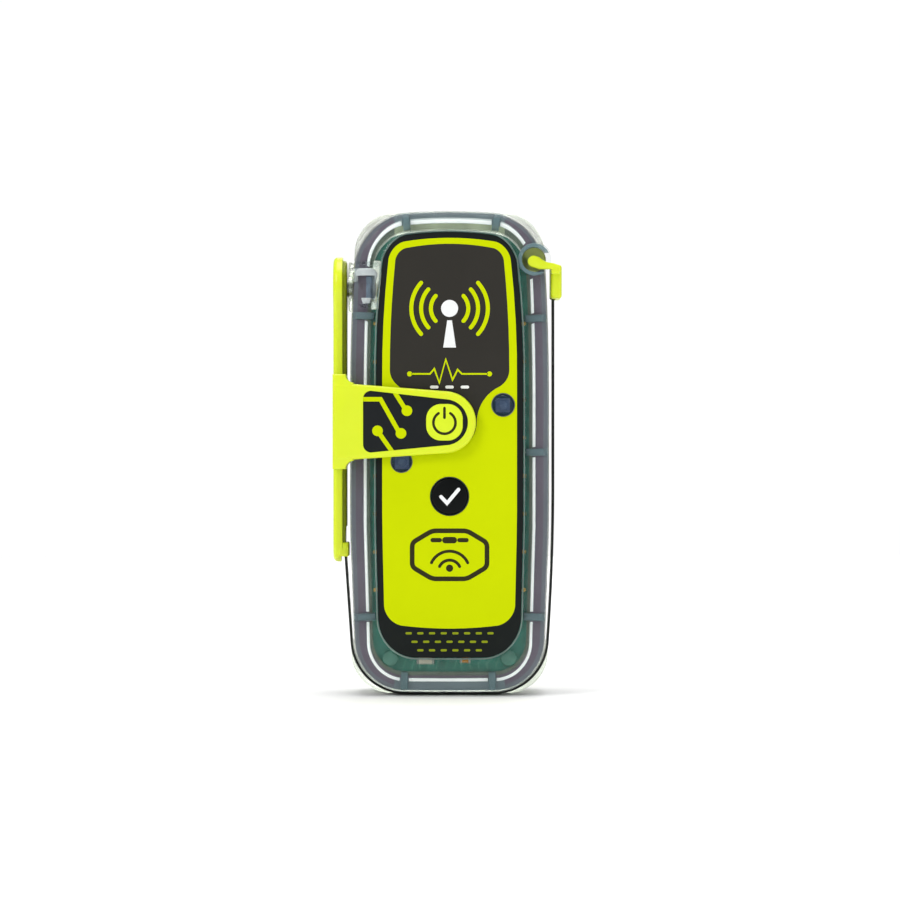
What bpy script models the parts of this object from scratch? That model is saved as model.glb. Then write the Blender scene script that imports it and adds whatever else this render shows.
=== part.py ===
"""Hand-held emergency position beacon: clear case, wrap-around blade antenna on a swinging arm, two buttons.

Run with: blender --background --python part.py
Lengths in the constants are millimetres; MM turns them into metres. The beacon stands upright, its face
looks towards -Y and its antenna arm is on the -X side. The origin is under the middle of its bounding box.
"""

import math

import bmesh
import bpy
from mathutils import Matrix, Vector

MM = 0.001
CLEARANCE = 0.3  # between pieces that touch on the real object

# Case outline, seen from the front
HALF_WIDTH = 23.5
CASE_TOP = 114.6
CASE_BOTTOM = 0.95
SIDE_LEAN, SIDE_LEAN_START = 3.4e-5, 70.0  # share of the width lost, per square of the height above the start
LOW_TAPER = 0.038  # share of the width lost between LOW_TAPER_START and LOW_TAPER_END
LOW_TAPER_START = 40.0
LOW_TAPER_END = 13.0
CROWN_TOP = 1.5
CROWN_BOTTOM = 0.25
FRONT_TOP_RADIUS = 12.5
BACK_TOP_RADIUS = 8.0
BOTTOM_RADIUS = 12.3
LIP_RADIUS = 9.5

# Depth stations along Y, front to back
FLAP_FRONT = -18.8
FLAP_BACK = -17.0
LABEL_FRONT = -16.2
LABEL_BACK = -15.8
PLATEAU_FRONT = -15.5
RIM_FRONT = -15.0
COVER_INSIDE = -13.4
SPLIT_FRONT = -11.0
SPLIT_BACK = -10.7
FLANGE_BACK = -8.0
BACK_INSIDE = 16.2
BACK_FACE = 18.2
BACK_LABEL_FACE = 18.8
EDGE_ROUND = 2.6
BACK_ROUND = 3.5

# Walls, measured inwards from the outline
WALL = 2.2
FLANGE = 4.4
SEAL_OUTER = 2.95
SEAL_INNER = 3.65
SEAL_FRONT = -12.0

# Face label and its raised plateau
LABEL_HALF = 17.3
LABEL_TOP = 109.4
LABEL_BOTTOM = 9.2
LABEL_TOP_RADIUS, LABEL_BOTTOM_RADIUS = 6.0, 9.0
LABEL_LEAN, LABEL_LEAN_START = 1.25e-4, 77.0
PLATEAU_MARGIN = 0.5

# Openings in the face: x, z, radius
ON_BUTTON = (-1.2, 64.5, 4.2)
TEST_BUTTON = (0.0, 47.2, 4.3)
STROBE = (12.6, 68.7, 2.5)
STATUS = (-11.3, 55.3, 2.3)
LENS_FRONT = -16.8

# Buttons: a cap, a stem behind it, and the switch on the board that the stem presses
CAP_BACK = -13.9
STEM_RADIUS, STEM_END = 1.4, -12.0
SWITCH_HALF, SWITCH_FRONT = 2.6, -11.1
ON_CAP_FRONT, TEST_CAP_FRONT = -16.6, -16.5

# Board
PCB_FRONT = -9.6
PCB_BACK = -8.4
PCB_INSET = 4.8

# Corner screws
SCREW_X_BOTTOM, SCREW_Z_BOTTOM = 13.9, 9.0
SCREW_X_TOP, SCREW_Z_TOP = 12.6, 106.6
COLUMN_RADIUS, COVER_BOSS_RADIUS = 2.3, 1.9
SCREW_HOLE_RADIUS = 1.2
COUNTERBORE_FLOOR = -5.6
SCREW_HEAD, SCREW_SHANK, SCREW_TIP = 1.4, 0.85, -12.9

# Antenna hub on the left side
HUB_Y, HUB_Z = -4.2, 96.7
HUB_BOSS_RADIUS = 6.2
HUB_BOSS_END = -24.0
SHAFT_RADIUS = 2.2
O_RING_RADIUS, O_RING_LEFT, O_RING_RIGHT = 3.9, -23.0, -22.2
ARM_INNER, ARM_OUTER = -24.4, -27.6
ARM_RIB_INNER = -23.9
ARM_PLATE_INNER = -25.4
ARM_HEAD_RADIUS = 7.3
ARM_HALF_DEPTH = 4.4
ARM_END = 31.5

# Flap of the arm that covers the main button
FLAP_LEFT_LOW, FLAP_LEFT_HIGH = 55.6, 73.9
FLAP_END_X, FLAP_END_Z, FLAP_END_RADIUS = -1.1, 64.6, 7.3
FLAP_RIM, FLAP_LABEL_LEFT = 1.9, -20.3
PAD_X, PAD_Z, PAD_HALF, PAD_RADIUS = -1.2, 64.6, 4.3, 3.5

# Blade: a flat spring strip round the bottom of the case
BLADE_THICK = 0.55
BLADE_FRONT, BLADE_BACK = -7.4, -1.0
BLADE_RADIUS = 12.9
BLADE_CENTRE_X, BLADE_CENTRE_Z = 10.4, 13.275
BLADE_LEAN = math.radians(4.0)  # the sides lean outwards above the corners
BLADE_STRAIGHT_Z, BLADE_STRAIGHT_X = 50.0, 24.6
BLADE_ROOT_TOP = 39.0  # inside the arm's foot
BLADE_TOP = 98.0
HINGES_PER_CORNER = 2
BLADE_GAP = 0.36

# Notch for the tip of the blade
NOTCH_X, NOTCH_Z = 19.9, 103.0
NOTCH_RING_RADIUS, NOTCH_RADIUS = 3.8, 2.2

# Cells
CELL_RADIUS = 8.4
CELL_X, CELL_Y = 8.9, 7.3
CELL_LOW, CELL_HIGH = 22.0, 56.5


# ---------------------------------------------------------------- scene, collections, materials

def clear_scene():
    for item in list(bpy.data.objects):
        bpy.data.objects.remove(item, do_unlink=True)


def new_collection(name):
    made = bpy.data.collections.new(name)
    bpy.context.scene.collection.children.link(made)
    return made


clear_scene()
PARTS = new_collection("emergency_position_beacon")
CUTTERS = new_collection("cutters")
MATERIALS = {}


def material(name, colour, roughness, metallic=0.0):
    made = bpy.data.materials.new(name)
    made.use_nodes = True
    shader = made.node_tree.nodes["Principled BSDF"]
    shader.inputs["Base Color"].default_value = (*colour, 1.0)
    shader.inputs["Roughness"].default_value = roughness
    shader.inputs["Metallic"].default_value = metallic
    MATERIALS[name] = made


material("clear_case", (0.55, 0.62, 0.62), 0.12)
material("seal_white", (0.88, 0.90, 0.90), 0.5)
material("label_print", (0.60, 0.74, 0.01), 0.45)
material("label_dark", (0.03, 0.035, 0.035), 0.5)
material("hi_vis_plastic", (0.78, 0.90, 0.05), 0.4)
material("button_black", (0.015, 0.016, 0.018), 0.5)
material("soft_black", (0.02, 0.02, 0.02), 0.7)
material("spring_steel", (0.04, 0.04, 0.045), 0.35, 0.4)
material("steel", (0.62, 0.62, 0.64), 0.3, 1.0)
material("board_green", (0.02, 0.17, 0.13), 0.45)
material("ceramic", (0.72, 0.70, 0.62), 0.5)
material("lens_clear", (0.75, 0.8, 0.85), 0.06)
material("cell_wrap", (0.08, 0.16, 0.42), 0.4)
material("cradle_grey", (0.30, 0.31, 0.33), 0.6)
material("foam", (0.12, 0.12, 0.13), 0.9)
material("copper_alloy", (0.80, 0.55, 0.30), 0.3, 1.0)


# ---------------------------------------------------------------- modelling helpers

def place(name, mesh, slot=None):
    """Links a mesh as a part, or as a cutter where it has no material slot."""
    made = bpy.data.objects.new(name, mesh)
    if slot:
        PARTS.objects.link(made)
        mesh.materials.clear()
        mesh.materials.append(MATERIALS[slot])
        mesh.shade_smooth()
        mesh.set_sharp_from_angle(angle=math.radians(35))
    else:
        CUTTERS.objects.link(made)
        made.hide_render = True
        made.display_type = "WIRE"
    return made


def rounded_edges(mesh, y_edge, width, steps):
    """Rounds the edges of a flat-ended piece that lie at this depth."""
    shape = bmesh.new()
    shape.from_mesh(mesh)
    edges = [e for e in shape.edges if all(abs(v.co.y - y_edge * MM) < 1e-6 for v in e.verts)]
    bmesh.ops.bevel(shape, geom=edges, offset=width * MM, segments=steps, profile=0.5, affect="EDGES")
    shape.to_mesh(mesh)
    shape.free()


def prism_mesh(name, outline, y_front, y_back):
    """A flat outline of x, z points as a filled 2D curve, extruded along Y."""
    curve = bpy.data.curves.new(name, "CURVE")
    curve.dimensions = "2D"
    curve.fill_mode = "BOTH"
    curve.extrude = (y_back - y_front) / 2 * MM
    spline = curve.splines.new("POLY")
    spline.points.add(len(outline) - 1)
    for point, (x, z) in zip(spline.points, outline):
        point.co = (x * MM, z * MM, 0.0, 1.0)
    spline.use_cyclic_u = True
    flat = bpy.data.objects.new(name + "_outline", curve)
    bpy.context.scene.collection.objects.link(flat)
    bpy.context.view_layer.update()
    mesh = bpy.data.meshes.new_from_object(flat.evaluated_get(bpy.context.evaluated_depsgraph_get()))
    bpy.data.objects.remove(flat, do_unlink=True)
    bpy.data.curves.remove(curve)
    upright = Matrix.Translation((0, (y_front + y_back) / 2 * MM, 0)) @ Matrix.Rotation(math.pi / 2, 4, "X")
    mesh.transform(upright)
    shape = bmesh.new()
    shape.from_mesh(mesh)
    bmesh.ops.remove_doubles(shape, verts=shape.verts, dist=1e-6)
    bmesh.ops.dissolve_limit(shape, angle_limit=math.radians(0.05), verts=shape.verts, edges=shape.edges)
    bmesh.ops.recalc_face_normals(shape, faces=shape.faces)
    shape.to_mesh(mesh)
    shape.free()
    mesh.name = name
    return mesh


def prism(name, outline, y_front, y_back, slot=None, front_round=0.0, back_round=0.0, steps=3):
    mesh = prism_mesh(name, outline, y_front, y_back)
    if front_round:
        rounded_edges(mesh, y_front, front_round, steps)
    if back_round:
        rounded_edges(mesh, y_back, back_round, steps)
    return place(name, mesh, slot)


def box(name, low, high, slot=None, edge=0.0):
    shape = bmesh.new()
    bmesh.ops.create_cube(shape, size=1.0)
    size = [(h - l) * MM for l, h in zip(low, high)]
    middle = [(h + l) / 2 * MM for l, h in zip(low, high)]
    bmesh.ops.scale(shape, vec=size, verts=shape.verts)
    bmesh.ops.translate(shape, vec=middle, verts=shape.verts)
    if edge:
        bmesh.ops.bevel(shape, geom=shape.edges[:], offset=edge * MM, segments=2, profile=0.5, affect="EDGES")
    mesh = bpy.data.meshes.new(name)
    shape.to_mesh(mesh)
    shape.free()
    return place(name, mesh, slot)


def turned(name, profile, axis, centre, slot=None, steps=24):
    """Radius, height pairs from the top end to the bottom end, turned about an axis through centre.

    Heights run along +axis. A profile that starts and ends at radius 0 is a solid; any other is closed
    into a ring.
    """
    mesh = bpy.data.meshes.new(name)
    solid = profile[0][0] == 0 and profile[-1][0] == 0
    count = len(profile)
    edges = [(i, i + 1) for i in range(count - 1)] + ([] if solid else [(count - 1, 0)])
    mesh.from_pydata([(r * MM, 0, h * MM) for r, h in profile], edges, [])
    made = place(name, mesh, slot)
    screw = made.modifiers.new("turn", "SCREW")
    screw.axis = "Z"
    screw.steps = steps
    screw.render_steps = steps
    screw.use_merge_vertices = True
    screw.merge_threshold = 1e-6
    made.rotation_mode = "QUATERNION"
    made.rotation_quaternion = Vector((0, 0, 1)).rotation_difference(Vector(axis))
    made.location = [c * MM for c in centre]
    return made


def rod(name, axis, centre, radius, low, high, slot=None, steps=24, edge=0.0):
    """A cylinder from low to high along +axis, measured from centre."""
    if edge:
        profile = [(0, high), (radius - edge, high), (radius, high - edge),
                   (radius, low + edge), (radius - edge, low), (0, low)]
    else:
        profile = [(0, high), (radius, high), (radius, low), (0, low)]
    return turned(name, profile, axis, centre, slot, steps)


def ring(name, axis, centre, outer, inner, low, high, slot=None, steps=24):
    profile = [(inner, high), (outer, high), (outer, low), (inner, low)]
    return turned(name, profile, axis, centre, slot, steps)


def combine(target, other, operation, solver):
    joined = target.modifiers.new(f"{operation.lower()}_{other.name}", "BOOLEAN")
    joined.operation = operation
    joined.solver = solver
    joined.object = other


def cut(target, *cutters, solver="EXACT"):
    for cutter in cutters:
        combine(target, cutter, "DIFFERENCE", solver)


def add(target, *pieces, solver="EXACT"):
    for piece in pieces:
        combine(target, piece, "UNION", solver)


def face_hole(name, x, z, radius, y_front, y_back, steps=24):
    return rod(name, (0, 1, 0), (x, 0, z), radius, y_front, y_back, steps=steps)


# ---------------------------------------------------------------- outlines

def arc(cx, cz, radius, start, end, steps):
    """Points on a circle; angles in degrees, from +x towards +z."""
    return [(cx + radius * math.cos(math.radians(start + (end - start) * i / steps)),
             cz + radius * math.sin(math.radians(start + (end - start) * i / steps)))
            for i in range(steps + 1)]


def between(a, b, count):
    """Points strictly between a and b."""
    return [(a[0] + (b[0] - a[0]) * i / (count + 1), a[1] + (b[1] - a[1]) * i / (count + 1))
            for i in range(1, count + 1)]


def case_outline(half, low, high, top_radius, bottom_radius, corner_steps=6, along=3, low_taper=LOW_TAPER,
                 crown_bottom=CROWN_BOTTOM, lean=(SIDE_LEAN, SIDE_LEAN_START)):
    """An upright rounded outline, narrower towards both ends and slightly crowned there."""
    corners = [arc(half - bottom_radius, low + bottom_radius, bottom_radius, -90, 0, corner_steps),
               arc(half - top_radius, high - top_radius, top_radius, 0, 90, corner_steps),
               arc(top_radius - half, high - top_radius, top_radius, 90, 180, corner_steps),
               arc(bottom_radius - half, low + bottom_radius, bottom_radius, 180, 270, corner_steps)]
    points = []
    for here, following in zip(corners, corners[1:] + corners[:1]):
        points += here + between(here[-1], following[0], along)
    middle = (low + high) / 2
    shaped = []
    for x, z in points:
        narrowing = lean[0] * max(0.0, z - lean[1]) ** 2
        below = (LOW_TAPER_START - z) / (LOW_TAPER_START - LOW_TAPER_END)
        narrowing += low_taper * min(1.0, max(0.0, below))
        if z > middle:
            z -= CROWN_TOP * (x / half) ** 2 * (z - middle) / (high - middle)
        else:
            z += crown_bottom * (x / half) ** 2 * (middle - z) / (middle - low)
        shaped.append((x * (1 - narrowing), z))
    return shaped


def shell_outline(top_radius, inset=0.0, bottom_radius=BOTTOM_RADIUS, low=CASE_BOTTOM, **detail):
    return case_outline(HALF_WIDTH - inset, low + inset, CASE_TOP - inset,
                        max(top_radius - inset, 1.0), max(bottom_radius - inset, 1.0), **detail)


def label_outline(margin, **detail):
    return case_outline(LABEL_HALF + margin, LABEL_BOTTOM - margin, LABEL_TOP + margin,
                        LABEL_TOP_RADIUS + margin, LABEL_BOTTOM_RADIUS + margin,
                        lean=(LABEL_LEAN, LABEL_LEAN_START), **detail)


SCREWS = [(sx * SCREW_X_BOTTOM, SCREW_Z_BOTTOM) for sx in (-1, 1)]
SCREWS += [(sx * SCREW_X_TOP, SCREW_Z_TOP) for sx in (-1, 1)]


# ---------------------------------------------------------------- case

def front_shell():
    shell = prism("front_shell", shell_outline(FRONT_TOP_RADIUS), RIM_FRONT, SPLIT_FRONT, "clear_case",
                  front_round=EDGE_ROUND)
    plateau = prism("plateau", label_outline(PLATEAU_MARGIN), PLATEAU_FRONT, RIM_FRONT + 0.6)
    add(shell, plateau)
    cavity = prism("cover_cavity", shell_outline(FRONT_TOP_RADIUS, FLANGE), COVER_INSIDE, SPLIT_FRONT + 1)
    rabbet = prism("seal_rabbet", shell_outline(FRONT_TOP_RADIUS, SEAL_OUTER - CLEARANCE),
                   SEAL_FRONT - CLEARANCE, SPLIT_FRONT + 1)
    cut(shell, cavity, rabbet)
    # The bosses graze the rounded corners of the cavity, where only the manifold solver stays closed.
    for i, (x, z) in enumerate(SCREWS):
        add(shell, face_hole(f"cover_boss_{i}", x, z, COVER_BOSS_RADIUS, COVER_INSIDE - 0.5,
                             PCB_FRONT - CLEARANCE, 12), solver="MANIFOLD")
        cut(shell, face_hole(f"cover_pilot_{i}", x, z, SCREW_HOLE_RADIUS, COVER_INSIDE + 0.2, PCB_FRONT, 12),
            solver="MANIFOLD")
    add(shell, face_hole("notch_ring", NOTCH_X, NOTCH_Z, NOTCH_RING_RADIUS, PLATEAU_FRONT, SEAL_FRONT - 0.5),
        solver="MANIFOLD")
    for name, (x, z, radius) in (("on", ON_BUTTON), ("test", TEST_BUTTON), ("strobe", STROBE),
                                 ("status", STATUS)):
        cut(shell, face_hole(f"{name}_opening", x, z, radius + CLEARANCE, PLATEAU_FRONT - 1,
                             COVER_INSIDE + 1), solver="MANIFOLD")
    notch_floor = SEAL_FRONT - 2 * CLEARANCE
    cut(shell, face_hole("notch_round", NOTCH_X, NOTCH_Z, NOTCH_RADIUS, PLATEAU_FRONT - 1, notch_floor),
        box("notch_slot", (NOTCH_X, PLATEAU_FRONT - 1, NOTCH_Z - 3.0),
            (HALF_WIDTH + 1, notch_floor, NOTCH_Z + 1.6)), solver="MANIFOLD")
    return shell


def back_shell():
    shell = prism("back_shell", shell_outline(BACK_TOP_RADIUS), SPLIT_BACK, BACK_FACE, "clear_case",
                  back_round=BACK_ROUND)
    lips = prism("lips", shell_outline(BACK_TOP_RADIUS, bottom_radius=LIP_RADIUS, low=0.0, low_taper=0.0,
                                       crown_bottom=0.0), -0.5, 14.5)
    lip_limit = box("lip_limit", (-40, -2, 12.0), (40, 20, 130))
    lip_gap = box("lip_gap", (-8.6, -2, -1), (8.6, 20, CASE_BOTTOM + 0.4))
    cut(lips, lip_limit, lip_gap)
    hub_boss = rod("hub_boss", (1, 0, 0), (0, HUB_Y, HUB_Z), HUB_BOSS_RADIUS, HUB_BOSS_END, -21.0)
    add(shell, lips, hub_boss)
    cut(shell, prism("flange_opening", shell_outline(BACK_TOP_RADIUS, FLANGE), SPLIT_BACK - 1, 0.0),
        prism("back_cavity", shell_outline(BACK_TOP_RADIUS, WALL), FLANGE_BACK, BACK_INSIDE, back_round=1.5,
              steps=2))
    # The columns graze the rounded corners of the cavity, where only the manifold solver stays closed.
    for i, (x, z) in enumerate(SCREWS):
        add(shell, face_hole(f"column_{i}", x, z, COLUMN_RADIUS, PCB_BACK + CLEARANCE, BACK_INSIDE + 1, 12),
            solver="MANIFOLD")
        cut(shell, face_hole(f"counterbore_{i}", x, z, SCREW_HEAD + CLEARANCE, COUNTERBORE_FLOOR,
                             BACK_FACE + 1, 12),
            face_hole(f"screw_hole_{i}", x, z, SCREW_HOLE_RADIUS, SPLIT_BACK, 0.0, 12), solver="MANIFOLD")
    cut(shell, rod("shaft_bore", (1, 0, 0), (0, HUB_Y, HUB_Z), SHAFT_RADIUS + CLEARANCE, -26, -18),
        rod("o_ring_groove", (1, 0, 0), (0, HUB_Y, HUB_Z), O_RING_RADIUS + CLEARANCE, O_RING_LEFT - CLEARANCE,
            O_RING_RIGHT + CLEARANCE), solver="MANIFOLD")
    return shell


def case_seal():
    seal = prism("case_seal", shell_outline(FRONT_TOP_RADIUS, SEAL_OUTER, corner_steps=5), SEAL_FRONT,
                 SPLIT_FRONT, "seal_white")
    cut(seal, prism("seal_middle", shell_outline(FRONT_TOP_RADIUS, SEAL_INNER, corner_steps=5),
                    SEAL_FRONT - 1, SPLIT_FRONT + 1))


def case_screws():
    """Screws deep in the back shell's columns, whose heads bear on the counterbores."""
    seat = COUNTERBORE_FLOOR + CLEARANCE
    for i, (x, z) in enumerate(SCREWS):
        turned(f"case_screw_{i + 1}", [(0, seat + 1.4), (SCREW_HEAD, seat + 1.4), (SCREW_HEAD, seat),
                                       (SCREW_SHANK, seat), (SCREW_SHANK, SCREW_TIP + 0.3), (0, SCREW_TIP)],
               (0, 1, 0), (x, 0, z), "steel", 12)


def labels():
    face = prism("face_label", label_outline(0.0), LABEL_FRONT, LABEL_BACK, "label_print")
    for name, (x, z, radius) in (("on", ON_BUTTON), ("test", TEST_BUTTON), ("strobe", STROBE),
                                 ("status", STATUS)):
        cut(face, face_hole(f"{name}_label_hole", x, z, radius + CLEARANCE, LABEL_FRONT - 1, LABEL_BACK + 1))
    prism("back_label", case_outline(16.0, 14.0, 100.0, 4.0, 4.0, corner_steps=3, along=1),
          BACK_FACE + CLEARANCE, BACK_LABEL_FACE, "label_print")


# ---------------------------------------------------------------- buttons and lights

def button(name, place_at, front, slot):
    """A round cap with a stem behind it, which slides towards +Y."""
    x, z, radius = place_at
    turned(name, [(0, STEM_END), (STEM_RADIUS, STEM_END), (STEM_RADIUS, CAP_BACK), (radius, CAP_BACK),
                  (radius, front + 0.4), (radius - 0.4, front), (0, front)], (0, 1, 0), (x, 0, z), slot)
    ring(f"{name}_seal", (0, 1, 0), (x, 0, z), 3.4, STEM_RADIUS + CLEARANCE, CAP_BACK + 1.0,
         STEM_END - CLEARANCE, "soft_black", 16)
    box(name.replace("button", "switch"), (x - SWITCH_HALF, SWITCH_FRONT, z - SWITCH_HALF),
        (x + SWITCH_HALF, PCB_FRONT - CLEARANCE, z + SWITCH_HALF), "button_black", 0.2)


def lamp(name, place_at):
    """A domed window in the face with its emitter on the board behind it."""
    x, z, radius = place_at
    flange = radius + 0.9
    flange_front = COVER_INSIDE + CLEARANCE
    lens = [(0, flange_front + 0.5), (flange, flange_front + 0.5), (flange, flange_front),
            (radius, flange_front), (radius, LENS_FRONT + 1.1), (radius * 0.85, LENS_FRONT + 0.5),
            (radius * 0.55, LENS_FRONT + 0.15), (0, LENS_FRONT)]
    turned(f"{name}_lens", lens, (0, 1, 0), (x, 0, z), "lens_clear", 20)
    base = PCB_FRONT - CLEARANCE
    turned(f"{name}_led", [(0, base), (1.7, base), (1.7, base - 0.9), (1.2, base - 1.1), (0.8, base - 2.1),
                           (0, base - 2.4)], (0, 1, 0), (x, 0, z), "ceramic", 16)


# ---------------------------------------------------------------- board and its parts

def board():
    pcb = prism("main_pcb", shell_outline(FRONT_TOP_RADIUS, PCB_INSET, corner_steps=4, along=1), PCB_FRONT,
                PCB_BACK, "board_green")
    for i, (x, z) in enumerate(SCREWS):
        cut(pcb, face_hole(f"board_hole_{i}", x, z, SCREW_HOLE_RADIUS, PCB_FRONT - 1, PCB_BACK + 1, 12))
    cut(pcb, box("hub_notch", (-30, PCB_FRONT - 1, HUB_Z - 5.3), (-16.2, PCB_BACK + 1, HUB_Z + 6.2)))
    front = PCB_FRONT - CLEARANCE
    back = PCB_BACK + CLEARANCE
    box("gps_patch", (-8.0, front - 3.2, 25.5), (8.0, front, 41.5), "ceramic", 0.3)
    box("rf_shield", (-9.5, back, 62.0), (11.5, back + 3.2, 92.0), "steel", 0.3)
    box("amplifier_shield", (-14.0, front - 2.0, 76.0), (-1.0, front, 92.0), "steel", 0.3)
    box("reference_oscillator", (3.0, front - 2.4, 78.0), (10.0, front, 87.0), "steel", 0.5)
    box("capacitor_white", (-7.8, front - 1.6, 7.6), (-3.6, front, 9.8), "ceramic", 0.2)
    box("capacitor_amber", (2.4, front - 1.2, 7.9), (5.0, front, 9.5), "copper_alloy", 0.2)
    box("antenna_clip", (-16.0, back, 93.0), (-12.5, -4.6, 100.0), "copper_alloy", 0.2)


def power():
    for side, name in ((-1, "cell_left"), (1, "cell_right")):
        turned(name, [(0, CELL_HIGH), (3.2, CELL_HIGH), (3.2, CELL_HIGH - 1.0),
                      (CELL_RADIUS, CELL_HIGH - 1.4), (CELL_RADIUS, CELL_LOW), (0, CELL_LOW)],
               (0, 0, 1), (side * CELL_X, CELL_Y, 0), "cell_wrap")
    cradle = box("battery_cradle", (-18.4, -3.2, 18.6), (18.4, 5.6, 60.0), "cradle_grey")
    for side in (-1, 1):
        cut(cradle, rod(f"cell_space_{side}", (0, 0, 1), (side * CELL_X, CELL_Y, 0), CELL_RADIUS + CLEARANCE,
                        CELL_LOW - 1.6, CELL_HIGH + 1.6))
    box("cell_link", (-12.6, CELL_Y - 1, CELL_LOW - 0.9), (12.6, CELL_Y + 4, CELL_LOW - 0.4), "steel")
    for side, name in ((-1, "contact_negative"), (1, "contact_positive")):
        x = side * CELL_X
        box(name, (x - 2.5, CELL_Y - 3, CELL_HIGH + 0.4), (x + 2.5, CELL_Y + 3, CELL_HIGH + 0.9),
            "copper_alloy")
    box("foam_pad", (-16.0, 6.2, 60.6), (16.0, 15.6, 74.0), "foam", 0.5)


# ---------------------------------------------------------------- antenna arm

def arm_outline():
    """The arm seen from the side, as y, z points: round head, waist, round foot."""
    half = ARM_HALF_DEPTH
    head = arc(HUB_Y, HUB_Z, ARM_HEAD_RADIUS, -38, 218, 16)
    foot = arc(HUB_Y, ARM_END + half, half, 180, 360, 8)
    return head + [(HUB_Y - half, 84.0)] + foot + [(HUB_Y + half, 84.0)]


def side_prism(name, outline, x_low, x_high, slot=None, edge=0.0):
    """An outline of y, z points extruded along X."""
    mesh = prism_mesh(name, [(-y, z) for y, z in outline], x_low, x_high)
    if edge:
        rounded_edges(mesh, x_low, edge, 2)
    mesh.transform(Matrix.Rotation(-math.pi / 2, 4, "Z"))
    return place(name, mesh, slot)


def flap_outline(shrink=0.0, left=-26.3):
    """The flap seen from the front: wide at the arm, tapering to a round end over the button."""
    end = arc(FLAP_END_X, FLAP_END_Z, FLAP_END_RADIUS - shrink, -86, 86, 12)
    return [(left, FLAP_LEFT_LOW + shrink), *end, (left, FLAP_LEFT_HIGH - shrink)]


def antenna_arm():
    arm = side_prism("antenna_arm", arm_outline(), ARM_OUTER, ARM_PLATE_INNER, "hi_vis_plastic", 0.7)
    squeezed = [(HUB_Y + (y - HUB_Y) * 0.82, ARM_END + 1 + (z - ARM_END) * 0.975) for y, z in arm_outline()]
    add(arm, side_prism("arm_rib", squeezed, ARM_PLATE_INNER - 0.5, ARM_INNER))
    plate = prism("flap_plate", flap_outline(), FLAP_FRONT, FLAP_BACK, front_round=0.6, steps=2)
    bridge = box("flap_bridge", (ARM_OUTER + 0.1, FLAP_FRONT + 0.1, FLAP_LEFT_LOW - 0.2),
                 (-24.2, HUB_Y, FLAP_LEFT_HIGH + 0.2), edge=0.6)
    add(arm, bridge, plate)
    add(arm, box("arm_foot", (-26.5, HUB_Y - 4.2, 32.8), (ARM_RIB_INNER, HUB_Y + 4.2, 36.2), edge=0.25))
    cut(arm, box("blade_slot", (-25.75, BLADE_FRONT - CLEARANCE, ARM_END - 1),
                 (-23.0, BLADE_BACK + CLEARANCE, 40.0)))
    cut(arm, prism("label_recess", flap_outline(FLAP_RIM, FLAP_LABEL_LEFT), FLAP_FRONT - 1, FLAP_FRONT + 0.8))
    cut(arm, rod("arm_bore", (1, 0, 0), (0, HUB_Y, HUB_Z), SHAFT_RADIUS + CLEARANCE, -26.6, -20))
    return arm


def pad_outline(margin, steps=5):
    """A square with round corners, as x, z points, grown by a margin."""
    half, radius = PAD_HALF + margin, PAD_RADIUS + margin
    reach = half - radius
    corners = [(reach, -reach, -90), (reach, reach, 0), (-reach, reach, 90), (-reach, -reach, 180)]
    return [p for cx, cz, start in corners
            for p in arc(PAD_X + cx, PAD_Z + cz, radius, start, start + 90, steps)]


def flap_pieces():
    label = prism("flap_label", flap_outline(FLAP_RIM + CLEARANCE, FLAP_LABEL_LEFT + CLEARANCE),
                  FLAP_FRONT + 0.2, FLAP_FRONT + 0.5, "label_dark")
    cut(label, prism("pad_hole", pad_outline(CLEARANCE), FLAP_FRONT - 1, FLAP_BACK))
    prism("power_pad", pad_outline(0.0), FLAP_FRONT + 0.05, FLAP_FRONT + 0.5, "hi_vis_plastic")


def hub():
    centre = (0, HUB_Y, HUB_Z)
    rod("hub_shaft", (1, 0, 0), centre, SHAFT_RADIUS, -26.3, -17.0, "steel", 20, 0.3)
    ring("hub_o_ring", (1, 0, 0), centre, O_RING_RADIUS, SHAFT_RADIUS + CLEARANCE, O_RING_LEFT, O_RING_RIGHT,
         "soft_black", 20)
    ring("hub_washer", (1, 0, 0), centre, 3.5, SHAFT_RADIUS + CLEARANCE, -19.9, -19.4, "steel", 20)
    nut = rod("hub_nut", (1, 0, 0), centre, 3.5, -19.1, -17.5, "steel", 6)
    cut(nut, rod("nut_bore", (1, 0, 0), centre, SHAFT_RADIUS + CLEARANCE, -20, -16, steps=20))


# ---------------------------------------------------------------- blade

def corner_point(side, angle):
    """A point on the blade's corner arc; side -1 is left; angle 0 is outermost and 90 degrees lowest."""
    return (side * (BLADE_CENTRE_X + BLADE_RADIUS * math.cos(angle)),
            BLADE_CENTRE_Z - BLADE_RADIUS * math.sin(angle))


def hinge_angles():
    step = (math.pi / 2 - BLADE_LEAN) / HINGES_PER_CORNER
    return [BLADE_LEAN + step * (i + 0.5) for i in range(HINGES_PER_CORNER)]


def corner_run(side, start, end):
    """Arc points from one angle to another, with the gap at each hinge taken off by the caller."""
    steps = max(2, round(abs(end - start) / math.radians(7)))
    return [corner_point(side, start + (end - start) * i / steps) for i in range(steps + 1)]


def right_side_run():
    """Above the right corner the blade eases out to its widest and then runs straight up."""
    low = BLADE_CENTRE_Z - BLADE_RADIUS * math.sin(BLADE_LEAN)
    start_x = corner_point(1, BLADE_LEAN)[0]
    points = []
    for share in (i / 6 for i in range(1, 7)):
        points.append((start_x + (BLADE_STRAIGHT_X - start_x) * (1 - (1 - share) ** 2),
                       low + (BLADE_STRAIGHT_Z - low) * share))
    return points + [(BLADE_STRAIGHT_X, BLADE_TOP)]


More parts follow.
